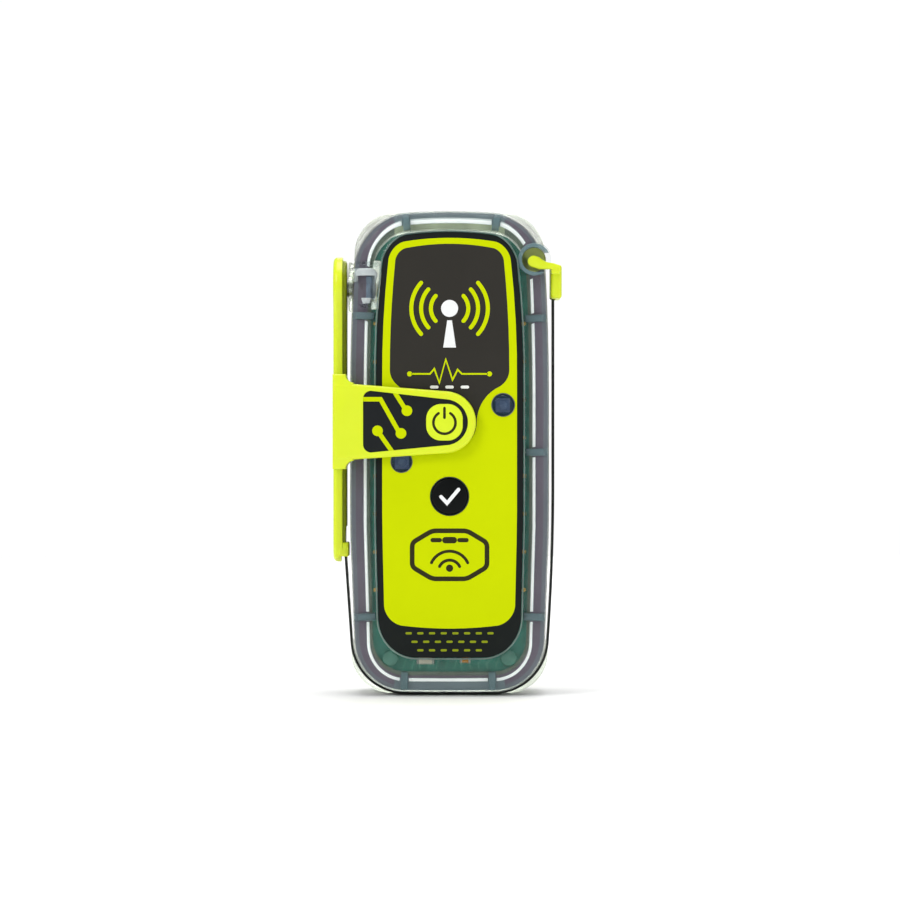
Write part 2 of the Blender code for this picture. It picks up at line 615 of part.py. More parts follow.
def strip(name, path):
    """A flat strip of the blade's thickness along a path of x, z points."""
    sides = ([], [])
    for i, (x, z) in enumerate(path):
        before, after = path[max(i - 1, 0)], path[min(i + 1, len(path) - 1)]
        along = Vector((after[0] - before[0], after[1] - before[1])).normalized()
        across = Vector((-along.y, along.x)) * BLADE_THICK / 2
        sides[0].append((x + across.x, z + across.y))
        sides[1].append((x - across.x, z - across.y))
    return prism(name, sides[0] + sides[1][::-1], BLADE_FRONT, BLADE_BACK, "spring_steel")


def blade():
    gap = BLADE_GAP / 2 / BLADE_RADIUS
    angles = hinge_angles()
    start = corner_point(-1, BLADE_LEAN)
    root_top = (start[0] - math.tan(BLADE_LEAN) * (BLADE_ROOT_TOP - start[1]), BLADE_ROOT_TOP)
    strip("blade_root", [root_top] + corner_run(-1, BLADE_LEAN, angles[0] - gap))
    for i, (here, following) in enumerate(zip(angles, angles[1:])):
        strip(f"blade_left_{i + 1}", corner_run(-1, here + gap, following - gap))
    strip("blade_bottom", corner_run(-1, angles[-1] + gap, math.pi / 2)
          + corner_run(1, math.pi / 2, angles[-1] + gap))
    for i, (here, following) in enumerate(zip(angles[::-1], angles[-2::-1])):
        strip(f"blade_right_{i + 1}", corner_run(1, here - gap, following + gap))
    strip("blade_long", corner_run(1, angles[0] - gap, BLADE_LEAN) + right_side_run())


def blade_tip():
    tip = box("blade_tip", (23.9, -12.6, 93.9), (26.5, 0.0, 101.9), "hi_vis_plastic", 0.5)
    lower = [(18.5, NOTCH_Z - 0.5), (19.6, NOTCH_Z - 1.8), (21.1, NOTCH_Z - 2.3), (25.4, NOTCH_Z - 2.3),
             (25.4, 100.2), (26.2, 100.2)]
    upper = [(26.2, 101.6), (24.6, NOTCH_Z - 0.9), (22.9, NOTCH_Z - 0.6), (21.3, NOTCH_Z + 0.5),
             (19.4, NOTCH_Z + 0.9), (18.5, NOTCH_Z + 0.5)]
    tongue = prism("tongue", lower + upper, -14.7, -13.2)
    neck = box("tongue_neck", (23.95, -14.6, 99.6), (26.0, -11.5, 101.5))
    add(tip, tongue, neck)
    cut(tip, box("tip_slot", (BLADE_STRAIGHT_X - 0.6, BLADE_FRONT - CLEARANCE, 93),
                 (BLADE_STRAIGHT_X + 0.6, BLADE_BACK + CLEARANCE, BLADE_TOP + 0.5)))


# ---------------------------------------------------------------- joint axes

def axis_empty(name, x, y, z, parent=None):
    empty = bpy.data.objects.new(name, None)
    PARTS.objects.link(empty)
    empty.location = (x * MM, y * MM, z * MM)
    bpy.context.view_layer.update()
    if parent:
        attach(empty, parent)
    return empty


def attach(child, parent):
    bpy.context.view_layer.update()
    child.parent = parent
    child.matrix_parent_inverse = parent.matrix_world.inverted()


def joints():
    swing = axis_empty("antenna_swing_axis", 0, HUB_Y, HUB_Z)
    for name in ("antenna_arm", "flap_label", "power_pad", "hub_shaft", "hub_nut", "blade_root"):
        attach(bpy.data.objects[name], swing)
    middle = (BLADE_FRONT + BLADE_BACK) / 2
    places = [corner_point(-1, a) for a in hinge_angles()]
    places += [corner_point(1, a) for a in hinge_angles()[::-1]]
    numbers = range(1, HINGES_PER_CORNER)
    carried = [f"blade_left_{i}" for i in numbers] + ["blade_bottom"]
    carried += [f"blade_right_{i}" for i in numbers] + ["blade_long"]
    parent = swing
    for i, ((x, z), name) in enumerate(zip(places, carried)):
        parent = axis_empty(f"blade_hinge_{i + 1}_axis", x, middle, z, parent)
        attach(bpy.data.objects[name], parent)
    attach(bpy.data.objects["blade_tip"], parent)


front_shell()
back_shell()
case_seal()
case_screws()
labels()
button("on_button", ON_BUTTON, ON_CAP_FRONT, "hi_vis_plastic")
button("test_button", TEST_BUTTON, TEST_CAP_FRONT, "button_black")
lamp("strobe", STROBE)
lamp("status", STATUS)
board()
power()
antenna_arm()
flap_pieces()
hub()
blade()
blade_tip()
joints()
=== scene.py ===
"""Looks of the hand-held emergency position beacon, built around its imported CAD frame.

Lengths in this script are millimetres unless a name says otherwise; MM turns them into metres. The face
looks towards -Y, the antenna arm is on the -X side, and the beacon stands on z = 0.
"""

import math
import random
from itertools import groupby

import bmesh
import bpy
from mathutils import Matrix, Vector


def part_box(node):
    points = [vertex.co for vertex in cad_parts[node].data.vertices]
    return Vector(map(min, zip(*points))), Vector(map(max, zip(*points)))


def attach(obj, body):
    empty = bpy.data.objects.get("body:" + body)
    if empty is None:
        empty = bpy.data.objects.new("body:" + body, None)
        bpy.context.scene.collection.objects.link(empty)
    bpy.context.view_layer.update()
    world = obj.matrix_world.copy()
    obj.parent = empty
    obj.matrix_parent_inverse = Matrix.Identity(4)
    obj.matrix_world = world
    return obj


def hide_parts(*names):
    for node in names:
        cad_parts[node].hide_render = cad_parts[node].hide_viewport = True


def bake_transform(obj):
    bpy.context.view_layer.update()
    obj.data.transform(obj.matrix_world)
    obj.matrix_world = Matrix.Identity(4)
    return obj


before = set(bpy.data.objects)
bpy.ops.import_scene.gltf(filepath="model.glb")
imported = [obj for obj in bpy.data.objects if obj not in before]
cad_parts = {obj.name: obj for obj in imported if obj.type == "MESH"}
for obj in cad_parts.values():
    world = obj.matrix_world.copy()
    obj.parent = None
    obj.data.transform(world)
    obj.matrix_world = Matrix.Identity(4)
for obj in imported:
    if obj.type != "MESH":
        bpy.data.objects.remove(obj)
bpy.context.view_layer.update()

MM = 0.001
SHAPES = random.Random(7)


def span(node):
    """Lowest and highest corner of a CAD node, in millimetres."""
    low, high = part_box(node)
    return low / MM, high / MM


def middle(node):
    low, high = span(node)
    return (low + high) / 2


# ---------------------------------------------------------------- driving sizes

# Read from the frame
CASE_LOW, CASE_HIGH = span("front_shell")
BACK_LOW, BACK_HIGH = span("back_shell")
LABEL_LOW, LABEL_HIGH = span("face_label")
PCB_LOW, PCB_HIGH = span("main_pcb")
ARM_LOW = span("antenna_arm")[0]
TIP_LOW, TIP_HIGH = span("blade_tip")
BLADE_LOW, BLADE_HIGH = span("blade_long")
SHAFT_LOW, SHAFT_HIGH = span("hub_shaft")
PAD_LOW, PAD_HIGH = span("power_pad")
FLAP_LABEL_LOW, FLAP_LABEL_HIGH = span("flap_label")
ON_CENTRE, TEST_CENTRE = middle("on_button"), middle("test_button")
STROBE_CENTRE, STATUS_CENTRE = middle("strobe_lens"), middle("status_lens")
OPENINGS = ((ON_CENTRE, 4.5), (TEST_CENTRE, 4.6), (STROBE_CENTRE, 2.8), (STATUS_CENTRE, 2.6))
HUB = middle("hub_shaft")

# Named sizes of the case, partly from the frame
HALF_WIDTH = 23.5
CASE_TOP = CASE_HIGH.z
CASE_BOTTOM = 0.95
SPLIT_FRONT, SPLIT_BACK = CASE_HIGH.y, -10.7
PLATEAU_FRONT = CASE_LOW.y
RIM_FRONT = PLATEAU_FRONT + 0.5
BACK_FACE = BACK_HIGH.y
COVER_INSIDE = -13.4
FLANGE_BACK, BACK_INSIDE = -8.0, 16.2
WALL, FLANGE = 2.2, 4.4
SEAL_INSET, SEAL_DROP = 3.6, 0.8
EDGE_ROUND, BACK_ROUND = 2.6, 3.5

# Outline of the case, as in the CAD source
SIDE_LEAN = (3.4e-5, 70.0)
LOW_TAPER, LOW_TAPER_START, LOW_TAPER_END = 0.038, 40.0, 13.0
CROWN_TOP, CROWN_BOTTOM = 1.5, 0.25
FRONT_TOP_RADIUS, BACK_TOP_RADIUS, BOTTOM_RADIUS, LIP_RADIUS = 12.5, 8.0, 12.3, 9.5
LABEL_TOP_RADIUS, LABEL_BOTTOM_RADIUS, PLATEAU_MARGIN = 6.0, 9.0, 0.5
LABEL_HALF, LABEL_LEAN = 17.3, (1.25e-4, 77.0)
LABEL_FRONT, LABEL_BACK = LABEL_LOW.y, LABEL_HIGH.y

# Blade and its corner arcs, as in the CAD source
BLADE_THICK, BLADE_RADIUS = 0.55, 12.9
BLADE_CENTRE_X, BLADE_CENTRE_Z = 10.4, 13.275
BLADE_LEAN = math.radians(4.0)
BLADE_STRAIGHT_X, BLADE_STRAIGHT_Z = 24.6, 50.0

SCREWS = [(sx * 13.9, 9.0) for sx in (-1, 1)] + [(sx * 12.6, 106.6) for sx in (-1, 1)]
NOTCH_X, NOTCH_Z = 19.9, 103.0


# ---------------------------------------------------------------- material nodes

def colour(red, green, blue):
    """An sRGB colour, 0 to 255, as linear red, green, blue and alpha."""
    parts = [c / 255 for c in (red, green, blue)]
    return [c / 12.92 if c <= 0.04045 else ((c + 0.055) / 1.055) ** 2.4 for c in parts] + [1.0]


MATERIALS = {}


class Nodes:
    """A new material in MATERIALS and its node tree, with short calls for the nodes used here."""

    def __init__(self, name):
        self.material = MATERIALS[name] = bpy.data.materials.new(name)
        self.material.use_nodes = True
        self.tree = self.material.node_tree
        self.shader = self.tree.nodes["Principled BSDF"]
        self.place = self.add("ShaderNodeTexCoord").outputs["Object"]

    def add(self, kind):
        return self.tree.nodes.new(kind)

    def link(self, source, target):
        self.tree.links.new(source, target)

    def noise(self, size_mm, detail=3.0, stretch=(1, 1, 1), distortion=0.0):
        """Noise whose features are about size_mm across."""
        mapping = self.add("ShaderNodeMapping")
        mapping.inputs["Scale"].default_value = [s / (size_mm * MM) for s in stretch]
        self.link(self.place, mapping.inputs["Vector"])
        made = self.add("ShaderNodeTexNoise")
        made.inputs["Scale"].default_value = 1.0
        made.inputs["Detail"].default_value = detail
        made.inputs["Distortion"].default_value = distortion
        self.link(mapping.outputs["Vector"], made.inputs["Vector"])
        return made.outputs["Fac"]

    def ranged(self, source, low, high, start=0.3, end=0.7):
        made = self.add("ShaderNodeMapRange")
        for key, value in (("From Min", start), ("From Max", end), ("To Min", low), ("To Max", high)):
            made.inputs[key].default_value = value
        self.link(source, made.inputs["Value"])
        return made.outputs["Result"]

    def mixed(self, share, first, second):
        """A colour between two."""
        made = self.add("ShaderNodeMix")
        made.data_type = "RGBA"
        self.link(share, made.inputs["Factor"])
        made.inputs[6].default_value, made.inputs[7].default_value = first, second
        return made.outputs[2]

    def bump(self, height, depth_mm, strength=1.0):
        made = self.add("ShaderNodeBump")
        made.inputs["Distance"].default_value = depth_mm * MM
        made.inputs["Strength"].default_value = strength
        self.link(height, made.inputs["Height"])
        return made.outputs["Normal"]

    def set(self, **values):
        """Shader inputs by name, with underscores for spaces."""
        for key, value in values.items():
            socket = self.shader.inputs[key.replace("_", " ")]
            if isinstance(value, bpy.types.NodeSocket):
                self.link(value, socket)
            else:
                socket.default_value = value


def shade(base, factor):
    return [c * factor for c in base[:3]] + [1.0]


def surface(name, rgb, rough, mottle_mm=6.0, contrast=0.06, grain_mm=0.25, grain_depth=0.004, **more):
    """A moulded, printed or coated surface: slight mottling, uneven gloss and a fine grain."""
    nodes, base = Nodes(name), colour(*rgb)
    tone = nodes.ranged(nodes.noise(mottle_mm), 0.0, 1.0)
    nodes.set(Base_Color=nodes.mixed(tone, shade(base, 1 - contrast), shade(base, 1 + contrast)))
    gloss = nodes.noise(4.0, detail=4.0, distortion=0.6)
    nodes.set(Roughness=nodes.ranged(gloss, rough - 0.08, rough + 0.08))
    nodes.set(Normal=nodes.bump(nodes.noise(grain_mm, detail=2.0), grain_depth), **more)


def clear_plastic(name, rgb, rough, ior, **more):
    """Clear moulded plastic: faint flow ripples, fine scuffs in the gloss and a slight tint."""
    nodes, tint = Nodes(name), colour(*rgb)
    ripple = nodes.noise(5.0, detail=1.0, stretch=(1, 1, 0.4))
    nodes.set(Base_Color=nodes.mixed(nodes.ranged(ripple, 0, 1), tint, shade(tint, 0.96)))
    scuff = nodes.noise(0.8, detail=5.0, distortion=1.5)
    nodes.set(Roughness=nodes.ranged(scuff, rough, rough * 2.2, 0.35, 0.75))
    nodes.set(Normal=nodes.bump(ripple, 0.012, 0.5), Transmission_Weight=1.0, IOR=ior, **more)


def brushed(name, rgb, rough, along=(1, 1, 12)):
    """Drawn or brushed metal, with lines across the stretched axis."""
    nodes, base = Nodes(name), colour(*rgb)
    lines = nodes.noise(0.5, detail=4.0, stretch=along)
    nodes.set(Base_Color=nodes.mixed(nodes.ranged(lines, 0, 1), shade(base, 0.86), base), Metallic=1.0)
    nodes.set(Roughness=nodes.ranged(nodes.noise(3.0), rough * 0.8, rough * 1.3))
    nodes.set(Normal=nodes.bump(lines, 0.003, 0.6))


FILM_GRAIN = {"grain_mm": 0.12, "grain_depth": 0.002}
DULL = {"Specular_IOR_Level": 0.12}

clear_plastic("cover_clear", (232, 238, 236), 0.03, 1.3, Alpha=0.5)
clear_plastic("case_clear", (206, 216, 196), 0.05, 1.35, Alpha=0.65)
surface("rib_clear", (112, 142, 148), 0.4, grain_mm=0.3, Alpha=0.62)
surface("notch_pale", (186, 196, 110), 0.5, grain_mm=0.3)
surface("joint_tint", (104, 96, 110), 0.45, contrast=0.09, mottle_mm=7)
surface("joint_edge", (112, 128, 134), 0.45, contrast=0.08, mottle_mm=7)
surface("joint_inside", (98, 112, 98), 0.45, contrast=0.12, mottle_mm=7)
surface("joint_pale", (172, 184, 152), 0.45, contrast=0.2, mottle_mm=4)
# Painted highlight: the clear frame before the hub, near white for the bright bands on its walls.
surface("window_frame_painted_highlight", (222, 228, 230), 0.3, contrast=0.1, mottle_mm=2, Alpha=0.9)
surface("post_tint", (84, 140, 124), 0.4, contrast=0.15, mottle_mm=1.5, Alpha=0.85)
# Painted reflection: mottled light and dark patches in place of the shaft's reflections.
surface("window_panel_painted_reflection", (160, 172, 180), 0.25, contrast=0.35, mottle_mm=2.2)
surface("window_bar", (112, 130, 150), 0.2, contrast=0.25, mottle_mm=2.0)
# Painted highlight: a pale ring for the light caught on the foot of the raised face.
surface("painted_edge_highlight", (136, 158, 150), 0.3, contrast=0.2, mottle_mm=9, Alpha=0.8)
clear_plastic("housing_clear", (214, 226, 226), 0.18, 1.3, Alpha=0.7)
clear_plastic("lens_smoke", (92, 106, 124), 0.02, 1.3, Alpha=0.45, Coat_Weight=0.2)
# The seal's white is its own colour; its emission is a painted glow, as the bead is no lamp.
surface("seal_white", (250, 252, 251), 0.35, contrast=0.02, grain_mm=0.4, Emission_Color=colour(235, 242,
        240), Emission_Strength=0.3)
surface("film_dark", (20, 25, 24), 0.5, mottle_mm=9, **FILM_GRAIN, **DULL)
surface("ink_yellow", (201, 217, 0), 0.5, contrast=0.012, mottle_mm=14, **FILM_GRAIN,
        Specular_IOR_Level=0.04)
surface("ink_olive", (138, 150, 24), 0.5, contrast=0.03, mottle_mm=6, grain_mm=0.12, Specular_IOR_Level=0.1)
surface("ink_panel", (48, 46, 42), 0.5, contrast=0.05, mottle_mm=14, **FILM_GRAIN, **DULL)
surface("ink_white", (240, 242, 242), 0.45, contrast=0.01, grain_mm=0.12)
surface("ink_dark", (48, 46, 24), 0.5, contrast=0.04, grain_mm=0.12, Specular_IOR_Level=0.1)
surface("arm_plastic", (218, 234, 26), 0.36, contrast=0.02, mottle_mm=10, grain_mm=0.22,
        Subsurface_Weight=0.12, Subsurface_Scale=0.002)
# Painted shade: the arm's yellow made darker olive for the inner side of the arm.
surface("arm_painted_shade", (140, 152, 6), 0.42, contrast=0.03, mottle_mm=10, grain_mm=0.22,
        Specular_IOR_Level=0.3)
surface("pad_rubber", (216, 237, 9), 0.5, contrast=0.02, grain_mm=0.18)
surface("flap_dark", (27, 30, 32), 0.5, mottle_mm=5, grain_mm=0.12, **DULL)
surface("button_black", (6, 9, 9), 0.42, grain_mm=0.2, Specular_IOR_Level=0.12)
surface("rubber", (26, 27, 29), 0.65, grain_mm=0.15, grain_depth=0.008)
surface("blade_black", (20, 24, 23), 0.32, contrast=0.15, mottle_mm=12, grain_mm=0.3, Metallic=0.3)
brushed("steel", (196, 197, 200), 0.28)
brushed("tinned", (160, 166, 160), 0.42, along=(1, 1, 1))
brushed("copper", (222, 176, 112), 0.3)
brushed("gold", (233, 196, 106), 0.26, along=(1, 1, 1))
surface("board", (54, 140, 122), 0.34, contrast=0.2, mottle_mm=3.5, grain_mm=0.2)
surface("trace", (82, 162, 138), 0.3, contrast=0.06, grain_mm=0.2)
surface("ceramic", (214, 209, 192), 0.5, mottle_mm=2.0)
surface("amber", (206, 142, 62), 0.4, mottle_mm=1.5, contrast=0.1)
surface("chip", (24, 25, 27), 0.55, grain_mm=0.1)
surface("cell_wrap", (38, 70, 118), 0.25, mottle_mm=8, contrast=0.08)
surface("cell_band", (206, 210, 214), 0.3, mottle_mm=8, contrast=0.04)
surface("cradle", (74, 72, 78), 0.55, mottle_mm=5)
surface("foam", (58, 58, 61), 0.95, grain_mm=0.5, grain_depth=0.12, mottle_mm=1.2, contrast=0.25)
surface("led_epoxy", (168, 186, 206), 0.25, mottle_mm=0.6, contrast=0.15, Emission_Color=colour(120, 150,
        190), Emission_Strength=0.25)
surface("lens_tube", (30, 44, 58), 0.4, mottle_mm=1.5)
surface("lens_rim", (74, 80, 80), 0.4, mottle_mm=1.5)
surface("floor", (250, 250, 250), 0.9, contrast=0.004, mottle_mm=400, grain_mm=40)


# ---------------------------------------------------------------- mesh helpers


def linked(name, data):
    made = bpy.data.objects.new(name, data)
    bpy.context.scene.collection.objects.link(made)
    return made


def edited(mesh, change):
    """Runs change on the mesh as a bmesh."""
    shape = bmesh.new()
    shape.from_mesh(mesh)
    change(shape)
    shape.to_mesh(mesh)
    shape.free()
    return mesh


def skin(name, rings, capped):
    """A closed skin over rings of x, y, z points; without caps the ends have to meet or be points."""
    count = len(rings[0])
    faces = [tuple(range(count)), tuple(range((len(rings) - 1) * count,
                                              len(rings) * count))] if capped else []
    for i in range(len(rings) - 1):
        for j in range(count):
            k = (j + 1) % count
            faces.append((i * count + j, i * count + k, (i + 1) * count + k, (i + 1) * count + j))
    mesh = bpy.data.meshes.new(name)
    mesh.from_pydata([(x * MM, y * MM, z * MM) for ring in rings for x, y, z in ring], [], faces)
    return mesh


def cleaned(name, mesh):
    def clean(shape):
        bmesh.ops.remove_doubles(shape, verts=shape.verts, dist=1e-7)
        bmesh.ops.recalc_face_normals(shape, faces=shape.faces)

    return linked(name, edited(mesh, clean))


def loft(name, rings):
    return cleaned(name, skin(name, rings, True))


def fill_flat(loops):
    """Flat faces in the XZ plane over closed loops of x, z points; a loop inside another is a hole."""
    curve = bpy.data.curves.new("flat", "CURVE")
    curve.dimensions = "2D"
    curve.fill_mode = "BOTH"
    curve.extrude = 0.5 * MM
    for loop in loops:
        spline = curve.splines.new("POLY")
        spline.points.add(len(loop) - 1)
        for point, (x, z) in zip(spline.points, loop):
            point.co = (x * MM, z * MM, 0.0, 1.0)
        spline.use_cyclic_u = True
    holder = linked("flat", curve)
    bpy.context.view_layer.update()
    mesh = bpy.data.meshes.new_from_object(holder.evaluated_get(bpy.context.evaluated_depsgraph_get()))
    bpy.data.objects.remove(holder, do_unlink=True)
    bpy.data.curves.remove(curve)
    return mesh


def prism(name, loops, y_front, y_back, round_front=0.0, round_back=0.0, steps=3):
    """Closed loops of x, z points extruded along Y, with the edges of either end rounded."""
    mesh = fill_flat(loops)
    depth = Matrix.Diagonal((1, 1, y_back - y_front, 1))
    upright = Matrix.Translation((0, (y_front + y_back) / 2 * MM, 0)) @ Matrix.Rotation(math.pi / 2, 4, "X")
    mesh.transform(upright @ depth)

    def clean(shape):
        bmesh.ops.remove_doubles(shape, verts=shape.verts, dist=1e-6)
        bmesh.ops.dissolve_limit(shape, angle_limit=math.radians(0.05), verts=shape.verts,
                                 edges=shape.edges)
        bmesh.ops.recalc_face_normals(shape, faces=shape.faces)
        for y_edge, width in ((y_front, round_front), (y_back, round_back)):
            if width:
                edges = [e for e in shape.edges if all(abs(v.co.y - y_edge * MM) < 1e-6 for v in e.verts)
                         and e.calc_face_angle(0) > 0.5]
                bmesh.ops.bevel(shape, geom=edges, offset=width * MM, segments=steps, profile=0.5,
                                affect="EDGES", clamp_overlap=True)

    return linked(name, edited(mesh, clean))


def side_prism(name, outline, x_low, x_high, edge_low=0.0, edge_high=0.0, steps=4):
    """An outline of y, z points extruded along X."""
    made = prism(name, [[(-y, z) for y, z in outline]], x_low, x_high, edge_low, edge_high, steps)
    made.data.transform(Matrix.Rotation(-math.pi / 2, 4, "Z"))
    return made


def block(name, low, high, edge=0.3, steps=3):
    """A box with rounded edges."""
    mesh = bpy.data.meshes.new(name)

    def shape_it(shape):
        bmesh.ops.create_cube(shape, size=1.0)
        bmesh.ops.scale(shape, vec=[(h - l) * MM for l, h in zip(low, high)], verts=shape.verts)
        bmesh.ops.translate(shape, vec=[(h + l) / 2 * MM for l, h in zip(low, high)], verts=shape.verts)
        if edge:
            bmesh.ops.bevel(shape, geom=shape.edges[:], offset=edge * MM, segments=steps, profile=0.5,
                            affect="EDGES")

    return linked(name, edited(mesh, shape_it))


def turned(name, profile, axis, centre, steps=48):
    """Radius, height pairs turned about an axis through centre; heights run along +axis."""
    if profile[0][0] or profile[-1][0]:
        profile = profile + profile[:1]
    mesh = skin(name, [[(r * math.cos(math.tau * i / steps), r * math.sin(math.tau * i / steps), h)
                        for i in range(steps)] for r, h in profile], False)
    turn = Vector((0, 0, 1)).rotation_difference(Vector(axis)).to_matrix().to_4x4()
    mesh.transform(Matrix.Translation(Vector(centre) * MM) @ turn)
    return cleaned(name, mesh)


def turned_in(name, profile, x, z, steps):
    """The same about an axis straight into the face at x, z."""
    return turned(name, profile, (0, 1, 0), (x, 0, z), steps)


def curve_in(radius, front, width, depth, steps, last=0):
    """The rounded front edge of a piece made by turned_in, without its first and its last few points."""
    return [(radius - width + width * math.cos(a), front + depth - depth * math.sin(a))
            for a in (math.pi / 2 * i / steps for i in range(1, steps + 1 - last))]


def rod(name, axis, centre, radius, low, high, edge=0.15, steps=32):
    return turned(name, [(0, high)] + rounded(radius, high, low, edge) + [(0, low)], axis, centre, steps)


def rounded(radius, high, low, edge, steps=3):
    """The side of a turned piece from its high end to its low end, with rounded edges."""
    angles = [math.pi / 2 * i / steps for i in range(steps + 1)]
    return ([(radius - edge + edge * math.sin(a), high - edge + edge * math.cos(a)) for a in angles]
            + [(radius - edge + edge * math.cos(a), low + edge - edge * math.sin(a)) for a in angles])


def hole(x, z, radius, y_front, y_back, steps=40):
    return turned_in("hole", [(0, y_back), (radius, y_back), (radius, y_front), (0, y_front)], x, z, steps)


def combine(target, operation, *others):
    """Joins or cuts target with the others, which are used up."""
    for other in others:
        step = target.modifiers.new("step", "BOOLEAN")
        step.operation = operation
        step.solver = "MANIFOLD"
        step.object = other
    bpy.context.view_layer.update()
    made = bpy.data.meshes.new_from_object(target.evaluated_get(bpy.context.evaluated_depsgraph_get()))
    target.modifiers.clear()
    target.data = made
    for other in others:
        bpy.data.objects.remove(other, do_unlink=True)
    return target


def merged(name, objects):
    """One object from several separate ones."""
    shape = bmesh.new()
    for item in objects:
        shape.from_mesh(item.data)
        bpy.data.objects.remove(item, do_unlink=True)
    mesh = bpy.data.meshes.new(name)
    shape.to_mesh(mesh)
    shape.free()
    return linked(name, mesh)


def finished(made, material, replaces=(), body="case", sharp=32):
    """Shades a piece, gives it its material, and puts it on its body, if it has a single one."""
    made.data.materials.clear()
    made.data.materials.append(MATERIALS[material])
    made.data.shade_smooth()
    made.data.set_sharp_from_angle(angle=math.radians(sharp))
    if body:
        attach(made, body)
    if replaces:
        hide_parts(*replaces)
    return made


# ---------------------------------------------------------------- outlines

def arc(cx, cz, radius, start, end, steps=12):
    """Points on a circle; angles in degrees, from +x towards +z."""
    turn = [math.radians(start + (end - start) * i / steps) for i in range(steps + 1)]
    return [(cx + radius * math.cos(a), cz + radius * math.sin(a)) for a in turn]


def circle(cx, cz, radius, steps=48):
    return arc(cx, cz, radius, 0, 360, steps)[:-1]


def between(a, b, count):
    return [(a[0] + (b[0] - a[0]) * i / (count + 1), a[1] + (b[1] - a[1]) * i / (count + 1))
            for i in range(1, count + 1)]


def case_outline(half, low, high, top_radius, bottom_radius, low_taper=LOW_TAPER, crown_bottom=CROWN_BOTTOM,
                 corner_steps=20, along=10, lean=SIDE_LEAN):
    """An upright rounded outline, narrower towards both ends and slightly crowned there."""
    corners = [arc(half - bottom_radius, low + bottom_radius, bottom_radius, -90, 0, corner_steps),
               arc(half - top_radius, high - top_radius, top_radius, 0, 90, corner_steps),
               arc(top_radius - half, high - top_radius, top_radius, 90, 180, corner_steps),
               arc(bottom_radius - half, low + bottom_radius, bottom_radius, 180, 270, corner_steps)]
    points = []
    for here, following in zip(corners, corners[1:] + corners[:1]):
        points += here + between(here[-1], following[0], along)
    centre = (low + high) / 2
    shaped = []
    for x, z in points:
        narrowing = lean[0] * max(0.0, z - lean[1]) ** 2
        below = (LOW_TAPER_START - z) / (LOW_TAPER_START - LOW_TAPER_END)
        narrowing += low_taper * min(1.0, max(0.0, below))
        if z > centre:
            z -= CROWN_TOP * (x / half) ** 2 * (z - centre) / (high - centre)
        else:
            z += crown_bottom * (x / half) ** 2 * (centre - z) / (centre - low)
        shaped.append((x * (1 - narrowing), z))
    return shaped


def shell_outline(top_radius, inset=0.0, top_inset=None, bottom_radius=BOTTOM_RADIUS, low=CASE_BOTTOM,
                  **detail):
    top_inset = inset if top_inset is None else top_inset
    return case_outline(HALF_WIDTH - inset, low + inset, CASE_TOP - top_inset, max(top_radius - inset, 1.0),
                        max(bottom_radius - inset, 1.0), **detail)


def label_outline(margin):
    return case_outline(LABEL_HALF + margin, LABEL_LOW.z - margin, LABEL_HIGH.z + margin,
                        LABEL_TOP_RADIUS + margin, LABEL_BOTTOM_RADIUS + margin, lean=LABEL_LEAN)


def rectangle(x0, x1, z0, z1):
    return [(x0, z0), (x1, z0), (x1, z1), (x0, z1)]


def rounded_rectangle(x0, x1, z0, z1, radius, steps):
    spots = [(x1 - radius, z0 + radius, -90), (x1 - radius, z1 - radius, 0), (x0 + radius, z1 - radius, 90),
             (x0 + radius, z0 + radius, 180)]
    return [p for x, z, start in spots for p in arc(x, z, radius, start, start + 90, steps)]


def at(outline, y):
    return [(x, y, z) for x, z in outline]


def quarter(depth, start_y, towards, steps=8):
    """Inset and y of a rounded edge of this radius, from the side face to the end face."""
    turn = [math.pi / 2 * i / steps for i in range(steps + 1)]
    return [(depth * (1 - math.cos(a)), start_y + towards * depth * math.sin(a)) for a in turn]


# ---------------------------------------------------------------- case shells

def front_cover():
    """The clear front half: rounded rim, raised plateau for the label, seal rabbet and cavity."""
    rim = [at(shell_outline(FRONT_TOP_RADIUS, i), y)
           for i, y in quarter(EDGE_ROUND, RIM_FRONT + EDGE_ROUND, -1, 10)]
    step = [at(label_outline(margin), y) for margin, y in
            ((PLATEAU_MARGIN + 0.25, RIM_FRONT), (PLATEAU_MARGIN + 0.06, RIM_FRONT - 0.08),
             (PLATEAU_MARGIN, RIM_FRONT - 0.26), (PLATEAU_MARGIN - 0.08, PLATEAU_FRONT + 0.07),
             (PLATEAU_MARGIN - 0.25, PLATEAU_FRONT))]
    cavity = shell_outline(FRONT_TOP_RADIUS, FLANGE, 3.8)
    rabbet = shell_outline(FRONT_TOP_RADIUS, SEAL_INSET - 0.95, SEAL_INSET - 1.75)
    rings = [at(cavity, COVER_INSIDE), at(cavity, SPLIT_FRONT - 1.3), at(rabbet, SPLIT_FRONT - 1.3),
             at(rabbet, SPLIT_FRONT), at(shell_outline(FRONT_TOP_RADIUS, 0.25), SPLIT_FRONT),
             at(shell_outline(FRONT_TOP_RADIUS), SPLIT_FRONT - 0.25)]
    cover = loft("front_cover", rings + rim + step)
    for x, z in SCREWS:
        combine(cover, "UNION", hole(x, z, 1.9, COVER_INSIDE - 0.5, PCB_LOW.y - 0.3, 24))
        combine(cover, "DIFFERENCE", hole(x, z, 1.2, COVER_INSIDE + 0.2, PCB_LOW.y, 24))
    combine(cover, "UNION", hole(NOTCH_X, NOTCH_Z, 4.1, RIM_FRONT, -12.5, 56))
    for spot, radius in OPENINGS:
        combine(cover, "DIFFERENCE", hole(spot.x, spot.z, radius, PLATEAU_FRONT - 1, COVER_INSIDE + 1))
    floor = -12.6
    combine(cover, "DIFFERENCE", hole(NOTCH_X, NOTCH_Z, 3.82, PLATEAU_FRONT - 1, floor),
            block("slot", (NOTCH_X, PLATEAU_FRONT - 1, NOTCH_Z - 3.0),
                  (HALF_WIDTH + 1, floor, NOTCH_Z + 1.6), 0))
    finished(cover, "cover_clear", ["front_shell"])


